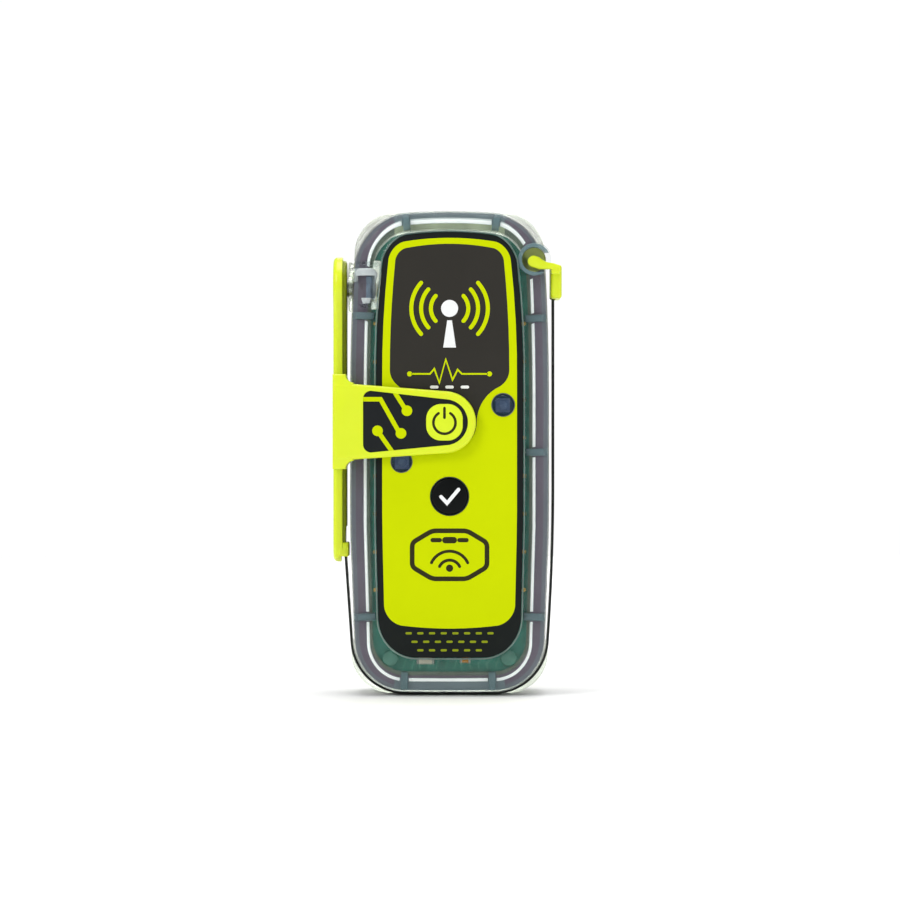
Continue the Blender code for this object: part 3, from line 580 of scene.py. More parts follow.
def back_half():
    """The clear back half: deep walls, bottom lips, hub boss, screw columns and their counterbores."""
    rings = [at(shell_outline(BACK_TOP_RADIUS, 0.25), SPLIT_BACK),
             at(shell_outline(BACK_TOP_RADIUS), SPLIT_BACK + 0.25)]
    rings += [at(shell_outline(BACK_TOP_RADIUS, i), y)
              for i, y in quarter(BACK_ROUND, BACK_FACE - BACK_ROUND, 1, 10)]
    shell = loft("back_half", rings)
    lips = prism("lips", [shell_outline(BACK_TOP_RADIUS, bottom_radius=LIP_RADIUS, low=0.0, low_taper=0.0,
                                        crown_bottom=0.0)], -0.5, 14.5, 0.4, 0.4)
    combine(lips, "DIFFERENCE", block("above", (-40, -2, 12), (40, 20, 130), 0),
            block("gap", (-8.6, -2, -1), (8.6, 20, CASE_BOTTOM + 0.4), 0))
    boss = turned("boss", [(0, -20.5), (6.6, -20.5), (6.35, -22.2)]
                  + rounded(6.2, -22.6, BACK_LOW.x, 0.4)[4:] + [(0, BACK_LOW.x)], (1, 0, 0),
                  (0, HUB.y, HUB.z), 64)
    combine(shell, "UNION", lips, boss)
    opening = loft("opening", [at(shell_outline(BACK_TOP_RADIUS, FLANGE), y)
                               for y in (SPLIT_BACK - 1, 0.0)])
    cavity = [at(shell_outline(BACK_TOP_RADIUS, WALL), FLANGE_BACK)]
    cavity += [at(shell_outline(BACK_TOP_RADIUS, WALL + i), y) for i,
               y in quarter(1.5, BACK_INSIDE - 1.5, 1, 6)]
    combine(shell, "DIFFERENCE", opening, loft("cavity", cavity))
    for x, z in SCREWS:
        combine(shell, "UNION", hole(x, z, 2.3, PCB_HIGH.y + 0.3, BACK_INSIDE + 1, 24))
        combine(shell, "DIFFERENCE", hole(x, z, 1.7, -5.6, BACK_FACE + 1, 24),
                hole(x, z, 1.2, SPLIT_BACK, 0.0, 24))
    combine(shell, "DIFFERENCE", rod("bore", (1, 0, 0), (0, HUB.y, HUB.z), 2.5, -26, -18, 0.1),
            rod("groove", (1, 0, 0), (0, HUB.y, HUB.z), 4.2, -23.3, -21.9, 0.1))
    finished(shell, "case_clear", ["back_shell"])


def nearest(path, x, z):
    return min(range(len(path)), key=lambda i: (path[i][0] - x) ** 2 + (path[i][1] - z) ** 2)


RIB_PLACES = [(-20, 89.6), (-20, 57.8), (-20, 18.9), (20, 89.4), (20, 57.8), (20, 18.6),
              (-10.6, 4), (10.0, 4), (-10.2, 112), (10.9, 112)]
RIB_HALF = 0.95
WINDOW_LOW, WINDOW_HIGH = HUB.z - 4.0, HUB.z + 4.3


def seal_and_ribs():
    """The white seal bead, given a painted glow so that it shows as a bright line, broken by the small ribs
    that hold it.
    """
    path, outer, inner = (shell_outline(FRONT_TOP_RADIUS, SEAL_INSET + side, SEAL_INSET + upper,
                                        low=CASE_BOTTOM - SEAL_DROP, corner_steps=40, along=150)
                          for side, upper in ((0, -1.2), (-0.36, -1.7), (0.36, -0.75)))
    breaks = [path[nearest(path, x, z)] for x, z in RIB_PLACES]
    solid = [all(math.dist(p, b) > RIB_HALF for b in breaks) and math.dist(p, (NOTCH_X, NOTCH_Z)) > 4.0
             and not (p[0] < 0 and WINDOW_LOW - 0.2 < p[1] < WINDOW_HIGH + 0.2) for p in path]
    first = next(i for i in range(len(path)) if solid[i] and not solid[i - 1])
    order = [(first + i) % len(path) for i in range(len(path))]
    runs = [list(run) for kept, run in groupby(order, key=lambda i: solid[i]) if kept]
    beads = [prism("bead", [[outer[i] for i in run] + [inner[i] for i in reversed(run)]],
                   SPLIT_FRONT - 0.95, SPLIT_FRONT - 0.05, 0.15, 0.0, 2) for run in runs if len(run) > 4]
    finished(merged("seal_bead", beads), "seal_white", ["case_seal"])
    ribs = []
    for x, z in RIB_PLACES:
        i = nearest(path, x, z)
        here = Vector(path[i])
        along = (Vector(path[(i + 1) % len(path)]) - Vector(path[i - 1])).normalized()
        inward = Vector((-along.y, along.x))
        reach = 1.3 if abs(x) < 15 and z > 50 else 2.3
        corners = [here + along * s * RIB_HALF * 0.9 + inward * d
                   for s, d in ((-1, -reach), (1, -reach), (1, 1.9), (-1, 1.9))]
        ribs.append(prism("rib", [[(c.x, c.y) for c in corners]], COVER_INSIDE + 0.9, SPLIT_FRONT + 0.25,
                          0.25, 0.0, 2))
    finished(merged("seal_ribs", ribs), "rib_clear")


def joint_face():
    """The tinted parting face of the back half, seen through the clear rim of the cover."""
    for name, outer, inner, sides, ends in (
            ("joint_face_edge", (0.3, 0.3), (1.3, 1.0), "joint_edge", "joint_edge"),
            ("joint_face", (1.3, 1.0), (3.9, 2.9), "joint_tint", "joint_edge"),
            ("joint_face_inside", (3.9, 2.9), (4.75, 4.4), "joint_inside", "joint_pale")):
        for part, operation, material in (("_sides", "DIFFERENCE", sides), ("_ends", "INTERSECT", ends)):
            loops = [shell_outline(FRONT_TOP_RADIUS, *insets) for insets in (outer, inner)]
            ring = prism(name + part, loops, SPLIT_BACK - 0.02, SPLIT_BACK + 0.3)
            both_ends = merged("both_ends", [block("end", (-13, -20, -1), (13, 20, 4.2), 0),
                                             block("end", (-13, -20, 104), (13, 20, 120), 0)])
            finished(combine(ring, operation, both_ends), material)


def hub_window():
    """The moulded frame inside the cover in front of the hub, painted near white as the highlight on its
    clear walls, with a mottled panel behind its opening as painted reflection of the shaft, and a darker bar
    across its opening.
    """
    left, right = -22.2, -17.0
    outline = (between((left, WINDOW_LOW), (right, WINDOW_LOW), 2)
               + arc(right - 1.6, WINDOW_HIGH - 1.6, 1.6, 0, 90, 8)
               + arc(left + 1.2, WINDOW_HIGH - 1.2, 1.2, 90, 180, 8))
    front, back = COVER_INSIDE + 0.25, SPLIT_FRONT - 0.1
    opening = rectangle(left + 0.5, right - 0.6, WINDOW_LOW + 1.3, WINDOW_HIGH - 1.7)
    made = combine(prism("hub_frame", [outline], front, back, 0.3, 0.0, 3), "DIFFERENCE",
                   prism("opening", [opening], front - 1, back + 1))
    finished(made, "window_frame_painted_highlight")
    panel = rectangle(left + 0.4, right - 0.5, WINDOW_LOW + 1.2, WINDOW_HIGH - 1.6)
    finished(prism("hub_painted_reflection_panel", [panel], back - 0.35, back), "window_panel_painted_reflection")
    bar = rectangle(-19.7, -18.2, WINDOW_LOW + 1.3, WINDOW_HIGH - 1.8)
    finished(prism("hub_bar", [bar], back - 0.9, back - 0.36, 0.2, 0.0, 2), "window_bar")


def post_caps():
    """The tinted closed ends of the four screw posts of the cover."""
    back, front = COVER_INSIDE + 0.9, COVER_INSIDE + 0.5
    caps = [turned_in("cap", rounded(1.85, back, front, 0.15) + [(0, front), (0, back)], x, z, 28)
            for x, z in SCREWS]
    finished(merged("post_caps", caps), "post_tint")


def plateau_edge_highlight():
    """A thin pale ring round the label, a painted highlight on the foot of the raised face."""
    ring = prism("plateau_edge_highlight", [label_outline(0.42), label_outline(0.1)], PLATEAU_FRONT - 0.02,
                 PLATEAU_FRONT + 0.25, 0.08, 0.0, 2)
    finished(ring, "painted_edge_highlight")


def notch_ring():
    """The tinted wall round the notch that holds the tip of the blade."""
    wall = turned_in("notch_wall", rounded(3.8, -12.55, PLATEAU_FRONT + 0.02, 0.3)
                  + [(2.9, PLATEAU_FRONT + 0.05), (2.9, -12.55)], NOTCH_X, NOTCH_Z, 64)
    combine(wall, "DIFFERENCE", block("slot", (NOTCH_X, PLATEAU_FRONT - 1, NOTCH_Z - 3.0),
                                      (HALF_WIDTH + 1, -12.0, NOTCH_Z + 1.6), 0))
    finished(wall, "rib_clear")
    floor = turned_in("notch_floor", [(0, -12.3), (2.85, -12.3), (2.85, -12.5), (0, -12.5)], NOTCH_X,
                      NOTCH_Z, 48)
    finished(floor, "notch_pale")


# ---------------------------------------------------------------- printing on the face

def stroke(points, width, closed=False):
    """Loops that outline a line of this width along x, z points."""
    half = width / 2
    left, right = [], []
    count = len(points)
    for i, point in enumerate(points):
        here = Vector(point)
        before = Vector(points[i - 1]) if closed or i else here
        after = Vector(points[(i + 1) % count]) if closed or i < count - 1 else here
        a = (here - before).normalized() if (here - before).length else (after - here).normalized()
        b = (after - here).normalized() if (after - here).length else a
        across = Vector((-(a.y + b.y), a.x + b.x)).normalized()
        reach = half / max(across.dot(Vector((-a.y, a.x))), 0.4)
        left.append(tuple(here + across * reach))
        right.append(tuple(here - across * reach))
    if closed:
        return [left, right]
    if width < 0.3:
        return [left + right[::-1]]
    start, end = Vector(points[0]), Vector(points[-1])
    lead = math.degrees(math.atan2(points[1][1] - start.y, points[1][0] - start.x))
    tail = math.degrees(math.atan2(end.y - points[-2][1], end.x - points[-2][0]))
    cap_end = arc(end.x, end.y, half, tail + 90, tail - 90, 8)
    cap_start = arc(start.x, start.y, half, lead + 270, lead + 90, 8)
    return [left[1:-1] + cap_end + right[1:-1][::-1] + cap_start]


def band(cx, cz, radius, start, end, width, steps=24):
    return stroke(arc(cx, cz, radius, start, end, steps), width)


def s_curve(x0, z0, x1, z1, first_radius, steps=14):
    """From a downward run at x0, z0 to a downward run at x1, z1, by two arcs that meet in a tangent."""
    across, down = abs(x1 - x0), z0 - z1
    turn = 2 * math.atan(across / down)
    second_radius = down / math.sin(turn) - first_radius
    side = 1 if x0 > x1 else -1
    angle = math.degrees(turn)
    first = arc(x0 - side * first_radius, z0, first_radius, 0, -angle, steps)
    second = arc(x1 + side * second_radius, z1, second_radius, 180 - angle, 180, steps)
    if side < 0:
        first = [(2 * (x0 + first_radius) - x, z) for x, z in first]
        second = [(2 * (x1 - second_radius) - x, z) for x, z in second]
    return first + second[1:]


def printed(name, loops, level, material):
    """A layer of ink; level counts layers up from the film."""
    front = LABEL_FRONT + 0.09 - 0.022 * level
    finished(prism(name, loops, front, front + 0.02), material)


def face_openings():
    return [circle(spot.x, spot.z, radius) for spot, radius in OPENINGS]


def face_print():
    film = prism("label_film", [label_outline(0.0)] + face_openings(), LABEL_FRONT + 0.09, LABEL_BACK, 0.06,
                 0, 2)
    finished(film, "film_dark", ["face_label"])
    field = case_outline(15.85, LABEL_LOW.z + 6.9, LABEL_HIGH.z - 1.4, 3.9, 4.4, crown_bottom=1.3,
                         lean=LABEL_LEAN)
    printed("label_field", [field] + face_openings(), 1, "ink_yellow")
    top = case_outline(14.05, 40.0, LABEL_HIGH.z - 2.8, 2.6, 4.0, lean=LABEL_LEAN)
    panel_low = 77.0
    turn = s_curve(14.05, panel_low, 6.4, 64.6, 4.6)
    left_turn = s_curve(-14.05, panel_low, -8.2, 64.6, 4.6)
    crest = [p for p in top if p[1] > panel_low + 0.5]
    crest.sort(key=lambda p: math.atan2(p[1] - 90, p[0]) if p[1] > 90 or p[0] > 0 else 4 + (90 - p[1]))
    end = [(-0.9 + 7.3 * math.cos(a), 64.6 - 6.9 * math.sin(a)) for a in
           (math.pi * (1 - i / 24) for i in range(1, 24))]
    panel = crest + left_turn + end + turn[::-1]
    printed("label_panel", [panel, circle(ON_CENTRE.x, ON_CENTRE.z, 4.5)], 2, "ink_panel")


def softened(corners, reach, steps=5):
    """A closed outline with each corner replaced by a short curve that starts reach before it."""
    points = []
    for i, corner in enumerate(corners):
        before, here, after = Vector(corners[i - 1]), Vector(corner), Vector(corners[(i + 1) % len(corners)])
        start = here + (before - here).normalized() * reach
        end = here + (after - here).normalized() * reach
        for step in range(steps + 1):
            t = step / steps
            point = start * (1 - t) ** 2 + here * 2 * t * (1 - t) + end * t ** 2
            points.append((point.x, point.y))
    return points


def rows_of_dashes(rows, length, height):
    """Short rounded dashes in rows; each row is its z, its number of dashes and their pitch."""
    loops = []
    for z, count, pitch in rows:
        for i in range(count):
            x = (i - (count - 1) / 2) * pitch
            loops += stroke([(x - length / 2 + height / 2, z), (x + length / 2 - height / 2, z)], height)
    return loops


def face_icons():
    """A radio-wave sign, a pulse line, a sky-view sign and rows of dashes where the real label has words."""
    lines = []
    for radius in (4.4, 6.7, 9.0):
        for side in (0, 180):
            lines += band(0.0, 91.4, radius, side - 42, side + 42, 0.95)
    pulse = [(-8.8, 76.0), (-4.6, 76.0), (-3.6, 77.2), (-2.4, 73.9), (-0.9, 79.4), (0.7, 74.6), (1.9, 77.0),
             (2.9, 76.0), (8.8, 76.0)]
    lines += stroke(pulse, 0.4) + [circle(-9.4, 76.0, 0.6, 20), circle(9.4, 76.0, 0.6, 20)]
    printed("panel_lines", lines, 3, "ink_yellow")
    words = rows_of_dashes([(15.0, 8, 2.75), (13.0, 7, 2.75), (11.0, 6, 2.75)], 1.5, 0.55)
    finished(prism("border_dashes", words, LABEL_FRONT + 0.068, LABEL_FRONT + 0.1), "ink_olive")
    white = [circle(0.0, 91.4, 2.0)]
    white += [[(-0.55, 88.6), (0.55, 88.6), (1.5, 82.2), (-1.5, 82.2)]]
    white += rows_of_dashes([(72.9, 3, 3.6)], 2.0, 0.7)
    printed("panel_white", white, 3, "ink_white")
    cut, rise = 4.7, 2.8
    left, right, low, high = -9.3, 9.3, 27.3, 39.6
    octagon = [(left + cut, low), (right - cut, low), (right, low + rise), (right, high - rise),
               (right - cut, high), (left + cut, high), (left, high - rise), (left, low + rise)]
    inside = [(x - math.copysign(0.5, x), z - math.copysign(0.5, z - 33.4)) for x, z in octagon]
    sign = stroke(softened(inside, 1.0), 1.1, closed=True)
    sign += band(0, 29.6, 2.6, 25, 155, 0.7) + band(0, 29.6, 4.7, 25, 155, 0.7)
    sign += [circle(0, 30.3, 0.85, 24)]
    sign += stroke([(-1.0, 36.9), (1.0, 36.9)], 1.5) + stroke([(-4.0, 36.9), (-2.3, 36.9)], 1.0)
    sign += stroke([(2.3, 36.9), (4.0, 36.9)], 1.0)
    printed("sky_sign", sign, 2, "ink_dark")


# ---------------------------------------------------------------- buttons and lamps

def button_profile(radius, high, *front_part):
    return [(0, high.y), (1.4, high.y), (1.4, -13.9), (radius, -13.9), *front_part]


def main_button():
    low, high = span("on_button")
    radius, front = (high.x - low.x) / 2, low.y
    profile = button_profile(radius, high, (radius, front + 0.5), *curve_in(radius, front, 0.5, 0.5, 5),
                             (radius - 1.0, front), (radius - 1.3, front + 0.15), (0, front + 0.2))
    cap = turned_in("main_button_cap", profile, ON_CENTRE.x, ON_CENTRE.z, 64)
    finished(cap, "pad_rubber", ["on_button"], "on_key")
    sign = power_sign(ON_CENTRE.x, ON_CENTRE.z, 2.0, 0.5)
    finished(prism("main_button_sign", sign, front + 0.13, front + 0.22), "ink_dark",
             body="on_key")


def test_button():
    low, high = span("test_button")
    radius, front = (high.x - low.x) / 2, low.y
    x, z = TEST_CENTRE.x, TEST_CENTRE.z
    profile = button_profile(radius, high, (radius, front + 0.6),
                             *curve_in(radius, front + 0.15, 0.6, 0.45, 6),
                             (radius * 0.5, front + 0.05), (0, front))
    cap = turned_in("test_button_cap", profile, x, z, 72)
    finished(cap, "button_black", ["test_button"], "test_key", 40)
    tick = stroke([(x - 2.0, z - 0.1), (x - 0.6, z - 1.6), (x + 2.1, z + 1.6)], 0.85)
    finished(prism("test_button_sign", tick, front, front + 0.2), "ink_white",
             body="test_key")
    collar = tube("test_button_collar", x, z, (4.62, 4.42), (LABEL_FRONT - 0.02, -15.6), LABEL_FRONT + 0.05,
                  72)
    finished(collar, "rubber")


def power_sign(x, z, radius, width):
    """The usual open ring and bar."""
    return band(x, z, radius, 122, 418, width) + stroke([(x, z + radius * 0.45), (x, z + radius * 1.32)],
                                                        width)


def seals_and_switches():
    for node, cap in (("on_button_seal", ON_CENTRE), ("test_button_seal", TEST_CENTRE)):
        low, high = span(node)
        outer = (high.x - low.x) / 2
        profile = rounded(outer, high.y, low.y, 0.15) + [(2.5, low.y + 0.1), (2.1, low.y),
                                                         (1.7, low.y + 0.05),
                                                         (1.7, high.y - 0.05)]
        made = turned_in(node + "_membrane", profile, cap.x, cap.z, 40)
        finished(made, "rubber", [node])
    for node in ("on_switch", "test_switch"):
        low, high = span(node)
        body = block("body", (low.x, low.y + 0.5, low.z), high, 0.2)
        spot = (low + high) / 2
        plunger = rod("plunger", (0, 1, 0), (spot.x, 0, spot.z), 1.1, low.y, low.y + 0.8, 0.15, 24)
        pins = [block("pin", (spot.x + sx * 2.45 - 0.25, high.y - 0.5, spot.z + sz * 1.5 - 0.3),
                      (spot.x + sx * 2.45 + 0.25, high.y - 0.02, spot.z + sz * 1.5 + 0.3), 0.05, 1)
                for sx in (-1, 1) for sz in (-1, 1)]
        finished(merged(node + "_body", [body, plunger] + pins), "chip", [node])


def tube(name, x, z, radii, reach, inner_front, steps):
    """A ring from reach[0] to reach[1] in y, whose inner front edge may lie further back."""
    outer, inner = radii
    profile = [(outer, reach[0]), (outer, reach[1]), (inner, reach[1]), (inner, inner_front)]
    return turned_in(name, profile, x, z, steps)


def lamp(node, led, spot):
    """A smoked dome in the face over its emitter, with a dark tube behind it."""
    low, high = span(node)
    flange, front = (high.x - low.x) / 2, low.y
    radius = flange - 0.9
    dome = [(0, high.y), (flange, high.y), (flange, -13.1), (radius, -13.1), (radius, front + 1.1),
            *curve_in(radius, front, radius, 1.1, 10, 1), (0, front)]
    finished(turned_in(node + "_dome", dome, spot.x, spot.z, 56), "lens_smoke", [node])
    rim = tube(node + "_rim", spot.x, spot.z, (radius + 0.3, radius + 0.08), (LABEL_FRONT - 0.04, -15.4),
               LABEL_FRONT + 0.04, 56)
    finished(rim, "lens_rim")
    light_tube = tube(node + "_tube", spot.x, spot.z, (flange + 0.5, radius + 0.1),
                      (-12.4, PCB_LOW.y - 0.05),
                      -12.4, 40)
    finished(light_tube, "lens_tube")
    low, high = span(led)
    base = block("base", (spot.x - 1.7, high.y - 0.9, spot.z - 1.7), (spot.x + 1.7, high.y, spot.z + 1.7),
                 0.15)
    bulb = turned_in("bulb", [(0, high.y - 0.9), (1.2, high.y - 0.9), (1.2, high.y - 1.5),
                              *curve_in(1.2, high.y - 2.4, 1.2, 0.9, 8, 1), (0, low.y)], spot.x, spot.z, 32)
    finished(merged(led + "_body", [base, bulb]), "led_epoxy", [led])


# ---------------------------------------------------------------- board

def board():
    """The board with its hub notch, screw holes, tracks and plated pads."""
    made = prism("board", [shell_outline(FRONT_TOP_RADIUS, 4.7)], PCB_LOW.y, PCB_HIGH.y)
    combine(made, "DIFFERENCE", *[hole(x, z, 1.2, PCB_LOW.y - 1, PCB_HIGH.y + 1, 24) for x, z in SCREWS])
    notch = block("notch", (-30, PCB_LOW.y - 1, HUB.z - 5.3), (-16.2, PCB_HIGH.y + 1, HUB.z + 6.2), 0)
    combine(made, "DIFFERENCE", notch)
    finished(made, "board", ["main_pcb"])
    front = PCB_LOW.y
    tracks = []
    for z in range(22, 90, 3):
        for side in (-1, 1):
            x = side * SHAPES.uniform(14.5, 17.6)
            bend = SHAPES.uniform(1.0, 2.2)
            tracks += stroke([(x, z), (x, z + bend), (x - side * 1.1, z + bend + 1.1)], 0.28)
    for x in range(-11, 12, 2):
        tracks += stroke([(x, 6.3), (x + SHAPES.uniform(-0.5, 0.5), 7.6), (x + 0.8, 8.8)], 0.28)
    finished(prism("board_tracks", tracks, front - 0.035, front + 0.01), "trace")
    pads = [circle(side * 17.4, z, 0.5, 16) for side in (-1, 1) for z in (25, 34, 43, 52, 61, 70, 79, 88)]
    pads += [circle(x, 110.0 - 4.9, 0.5, 16) for x in (-8, -4, 0, 4, 8)]
    finished(prism("board_pads", pads, front - 0.05, front + 0.01), "gold")


def small_part(x, z, long, wide, tall, upright):
    """A chip part with its two metal ends, as dark or pale body and end blocks."""
    half = (wide / 2, long / 2) if upright else (long / 2, wide / 2)
    front = PCB_LOW.y - 0.3
    body = block("body", (x - half[0], front - tall, z - half[1]), (x + half[0], front, z + half[1]), 0.06,
                 1)
    ends = []
    for sign in (-1, 1):
        cx = x if upright else x + sign * half[0]
        cz = z + sign * half[1] if upright else z
        ends.append(block("end", (cx - min(half) * 0.95, front - tall - 0.03, cz - min(half) * 0.95),
                          (cx + min(half) * 0.95, front + 0.25, cz + min(half) * 0.95), 0.06, 1))
    return body, ends


def board_parts():
    groups = {"ceramic": [], "chip": [], "amber": []}
    ends = []
    places = [(side * 16.4, z) for side in (-1, 1) for z in (29, 38, 47, 58, 66, 75, 84)]
    places += [(x, 107.2) for x in (-5, -2, 1.5, 5)]
    for i, (x, z) in enumerate(places):
        kind = ("ceramic", "chip", "amber")[i % 3]
        body, caps = small_part(x, z, 1.5, 0.8, 0.6, abs(x) > 12)
        groups[kind].append(body)
        ends += caps
    for kind, bodies in groups.items():
        slot = {"ceramic": "ceramic", "chip": "button_black", "amber": "copper_alloy"}[kind]
        finished(merged(f"small_parts_{kind}", bodies), kind)
    finished(merged("small_part_ends", ends), "tinned")
    for node, kind, slot in (("capacitor_white", "ceramic", "ceramic"),
                             ("capacitor_amber", "amber", "copper_alloy")):
        low, high = span(node)
        body = block(node + "_body", (low.x + 0.5, low.y, low.z), (high.x - 0.5, high.y, high.z), 0.18)
        finished(body, kind, [node])
        caps = [block("cap", (x0, low.y - 0.02, low.z - 0.05), (x1, high.y + 0.2, high.z + 0.05), 0.15)
                for x0, x1 in ((low.x, low.x + 0.6), (high.x - 0.6, high.x))]
        finished(merged(node + "_ends", caps), "tinned")


def shield(node, towards):
    """A pressed shield can with a lid on the side named by towards and two rows of vent holes."""
    low, high = span(node)
    outer_y = low.y if towards < 0 else high.y
    can = block(node + "_can", (low.x + 0.25, low.y, low.z + 0.25), (high.x - 0.25, high.y, high.z - 0.25),
                0.35)
    lid_low = (low.x, outer_y if towards < 0 else outer_y - 0.9, low.z)
    lid_high = (high.x, outer_y + 0.9 if towards < 0 else outer_y, high.z)
    combine(can, "UNION", block("lid", lid_low, lid_high, 0.3))
    vents = [rod("vent", (0, 1, 0), (low.x + (high.x - low.x) * (i + 1) / 6, 0,
                                     low.z + (high.z - low.z) * k / 3),
                 0.5, outer_y - 0.25, outer_y + 0.25, 0.02, 16) for i in range(5) for k in (1, 2)]
    combine(can, "DIFFERENCE", *vents)
    finished(can, "tinned", [node])


def patch_antenna():
    low, high = span("gps_patch")
    tile = block("patch_tile", (low.x, low.y + 0.1, low.z), high, 0.25)
    finished(tile, "ceramic", ["gps_patch"])
    spot = (low + high) / 2
    plate = rounded_rectangle(spot.x - 6.4, spot.x + 6.4, spot.z - 6.4, spot.z + 6.4, 0.8, 5)
    finished(prism("patch_plate", [plate, circle(spot.x + 1.4, spot.z, 0.5, 20)], low.y + 0.03,
                   low.y + 0.12), "tinned")
    finished(rod("patch_pin", (0, 1, 0), (spot.x + 1.4, 0, spot.z), 0.42, low.y, low.y + 0.3, 0.1, 20),
             "gold")


def oscillator_and_clip():
    low, high = span("reference_oscillator")
    can = block("oscillator_can", (low.x + 0.4, low.y, low.z + 0.4), (high.x - 0.4, high.y, high.z - 0.4),
                0.6, 4)
    combine(can, "UNION", block("foot", (low.x, high.y - 0.5, low.z), high, 0.2))
    finished(can, "tinned", ["reference_oscillator"])
    low, high = span("antenna_clip")
    clip = block("clip", low, (high.x, low.y + 0.5, high.z), 0.15)
    finger = block("finger", (low.x + 0.8, low.y, low.z + 1.5), (high.x - 0.8, high.y, high.z - 1.5), 0.3)
    combine(clip, "UNION", finger)
    clip.name = "antenna_contact"
    finished(clip, "copper", ["antenna_clip"])


# ---------------------------------------------------------------- power and padding

def cells():
    for node in ("cell_left", "cell_right"):
        low, high = span(node)
        spot = (low + high) / 2
        radius = (high.x - low.x) / 2
        top, base = high.z, low.z
        can = turned(node + "_can", [(0, top), (3.0, top), (3.2, top - 0.2), (3.2, top - 1.0),
                                     (7.3, top - 1.1),
                                     (7.6, top - 1.5), (7.6, base + 0.3), (7.3, base), (0, base)],
                     (0, 0, 1),
                     (spot.x, spot.y, 0), 56)
        finished(can, "steel", [node])
        sleeve = turned(node + "_sleeve", [(6.6, top - 1.02), (radius - 0.3, top - 1.15),
                                           (radius, top - 1.6),
                                           (radius, base + 0.5), (radius - 0.3, base + 0.05), (6.6, base),
                                           (6.6, base + 0.12), (radius - 0.5, base + 0.5),
                                           (radius - 0.5, top - 1.6), (6.6, top - 1.2)], (0, 0, 1),
                        (spot.x, spot.y, 0), 56)
        finished(sleeve, "cell_wrap")
        for i, share in enumerate((0.18, 0.82)):
            z = base + (top - base) * share
            ring = turned(f"{node}_band_{i + 1}", [(radius + 0.02, z + 1.2), (radius + 0.02, z - 1.2),
                                                   (radius - 0.1, z - 1.2), (radius - 0.1, z + 1.2)],
                          (0, 0, 1), (spot.x, spot.y, 0), 56)
            finished(ring, "cell_band")


def cradle():
    low, high = span("battery_cradle")
    tray = block("cell_cradle", low, high, 0.8, 4)
    spaces = []
    for node in ("cell_left", "cell_right"):
        cell_low, cell_high = span(node)
        spot = (cell_low + cell_high) / 2
        spaces.append(rod("space", (0, 0, 1), (spot.x, spot.y, 0), (cell_high.x - cell_low.x) / 2 + 0.3,
                          cell_low.z - 1.6, cell_high.z + 1.6, 0.3, 64))
    combine(tray, "DIFFERENCE", *spaces)
    combine(tray, "DIFFERENCE", *[block("window", (sx * 8.9 - 4, -6, z), (sx * 8.9 + 4, 8, z + 6), 1.2)
                                  for sx in (-1, 1) for z in (26, 36, 46)])
    finished(tray, "cradle", ["battery_cradle"])
    low, high = span("cell_link")
    link = block("cell_strap", low, high, 0.12)
    finished(link, "steel", ["cell_link"])
    for node in ("contact_negative", "contact_positive"):
        low, high = span(node)
        spot = (low + high) / 2
        strip = block(node + "_strip", (low.x, low.y, high.z - 0.2), high, 0.08, 2)
        bump = turned("bump", [(0, high.z - 0.1), (1.6, high.z - 0.1), (1.3, low.z + 0.1), (0, low.z)],
                      (0, 0, 1),
                      (spot.x, spot.y, 0), 24)
        finished(combine(strip, "UNION", bump), "copper", [node])
    low, high = span("foam_pad")
    finished(block("foam_block", low, high, 1.2, 5), "foam", ["foam_pad"])


def screws():
    for i, (x, z) in enumerate(SCREWS):
        node = f"case_screw_{i + 1}"
        low, high = span(node)
        seat = high.y - 1.4
        profile = [(0, high.y)] + [(1.1, high.y), (1.4, high.y - 0.35), (1.4, seat), (0.85, seat)]
        turns = 14
        for k in range(turns):
            y = seat - 0.6 - (seat - low.y - 1.4) * k / turns
            profile += [(0.85, y), (0.62, y - 0.2)]
        profile += [(0.6, low.y + 0.5), (0, low.y)]
        made = turned_in(node + "_body", profile, x, z, 28)
        combine(made, "DIFFERENCE", *[block("slot", (x - w, high.y - 0.7, z - h),
                                            (x + w, high.y + 1, z + h), 0)
                                      for w, h in ((0.9, 0.18), (0.18, 0.9))])
        finished(made, "steel", [node])


def back_print():
    """The back label: a plain film with pictograms and rules in place of the printed instructions."""
    low, high = span("back_label")
    half = (high.x - low.x) / 2
    film = prism("back_film", [case_outline(half, low.z, high.z, 4.0, 4.0)], low.y, high.y - 0.06, 0, 0.06,
                 2)
    finished(film, "ink_yellow", ["back_label"])
    ink = stroke(case_outline(half - 1.2, low.z + 1.4, high.z - 1.4, 3.2, 3.2), 0.6, closed=True)
    ink += band(0, 84, 7, 20, 160, 0.9) + band(0, 84, 4.4, 20, 160, 0.9) + [circle(0, 84.6, 1.5)]
    ink += stroke([(-9, 79), (9, 79)], 0.5)
    for i, z in enumerate((70, 58, 46)):
        ink += [circle(9.2, z, 2.6), circle(9.2, z, 1.9)]
        ink += [circle(9.2 - 0.9 * (k - i / 2), z, 0.32, 12) for k in range(i + 1)]
        ink += rows_of_dashes([(z + 1.2, 3, 4.6), (z - 1.2, 2, 4.6)], 3.4, 0.7)
    ink += stroke([(-9, 38), (9, 38)], 0.5)
    ink += rows_of_dashes([(34, 5, 4.4), (31, 4, 4.4), (28, 5, 4.4), (25, 3, 4.4)], 3.2, 0.7)
    finished(prism("back_ink", ink, high.y - 0.07, high.y), "ink_dark")


# ---------------------------------------------------------------- hub

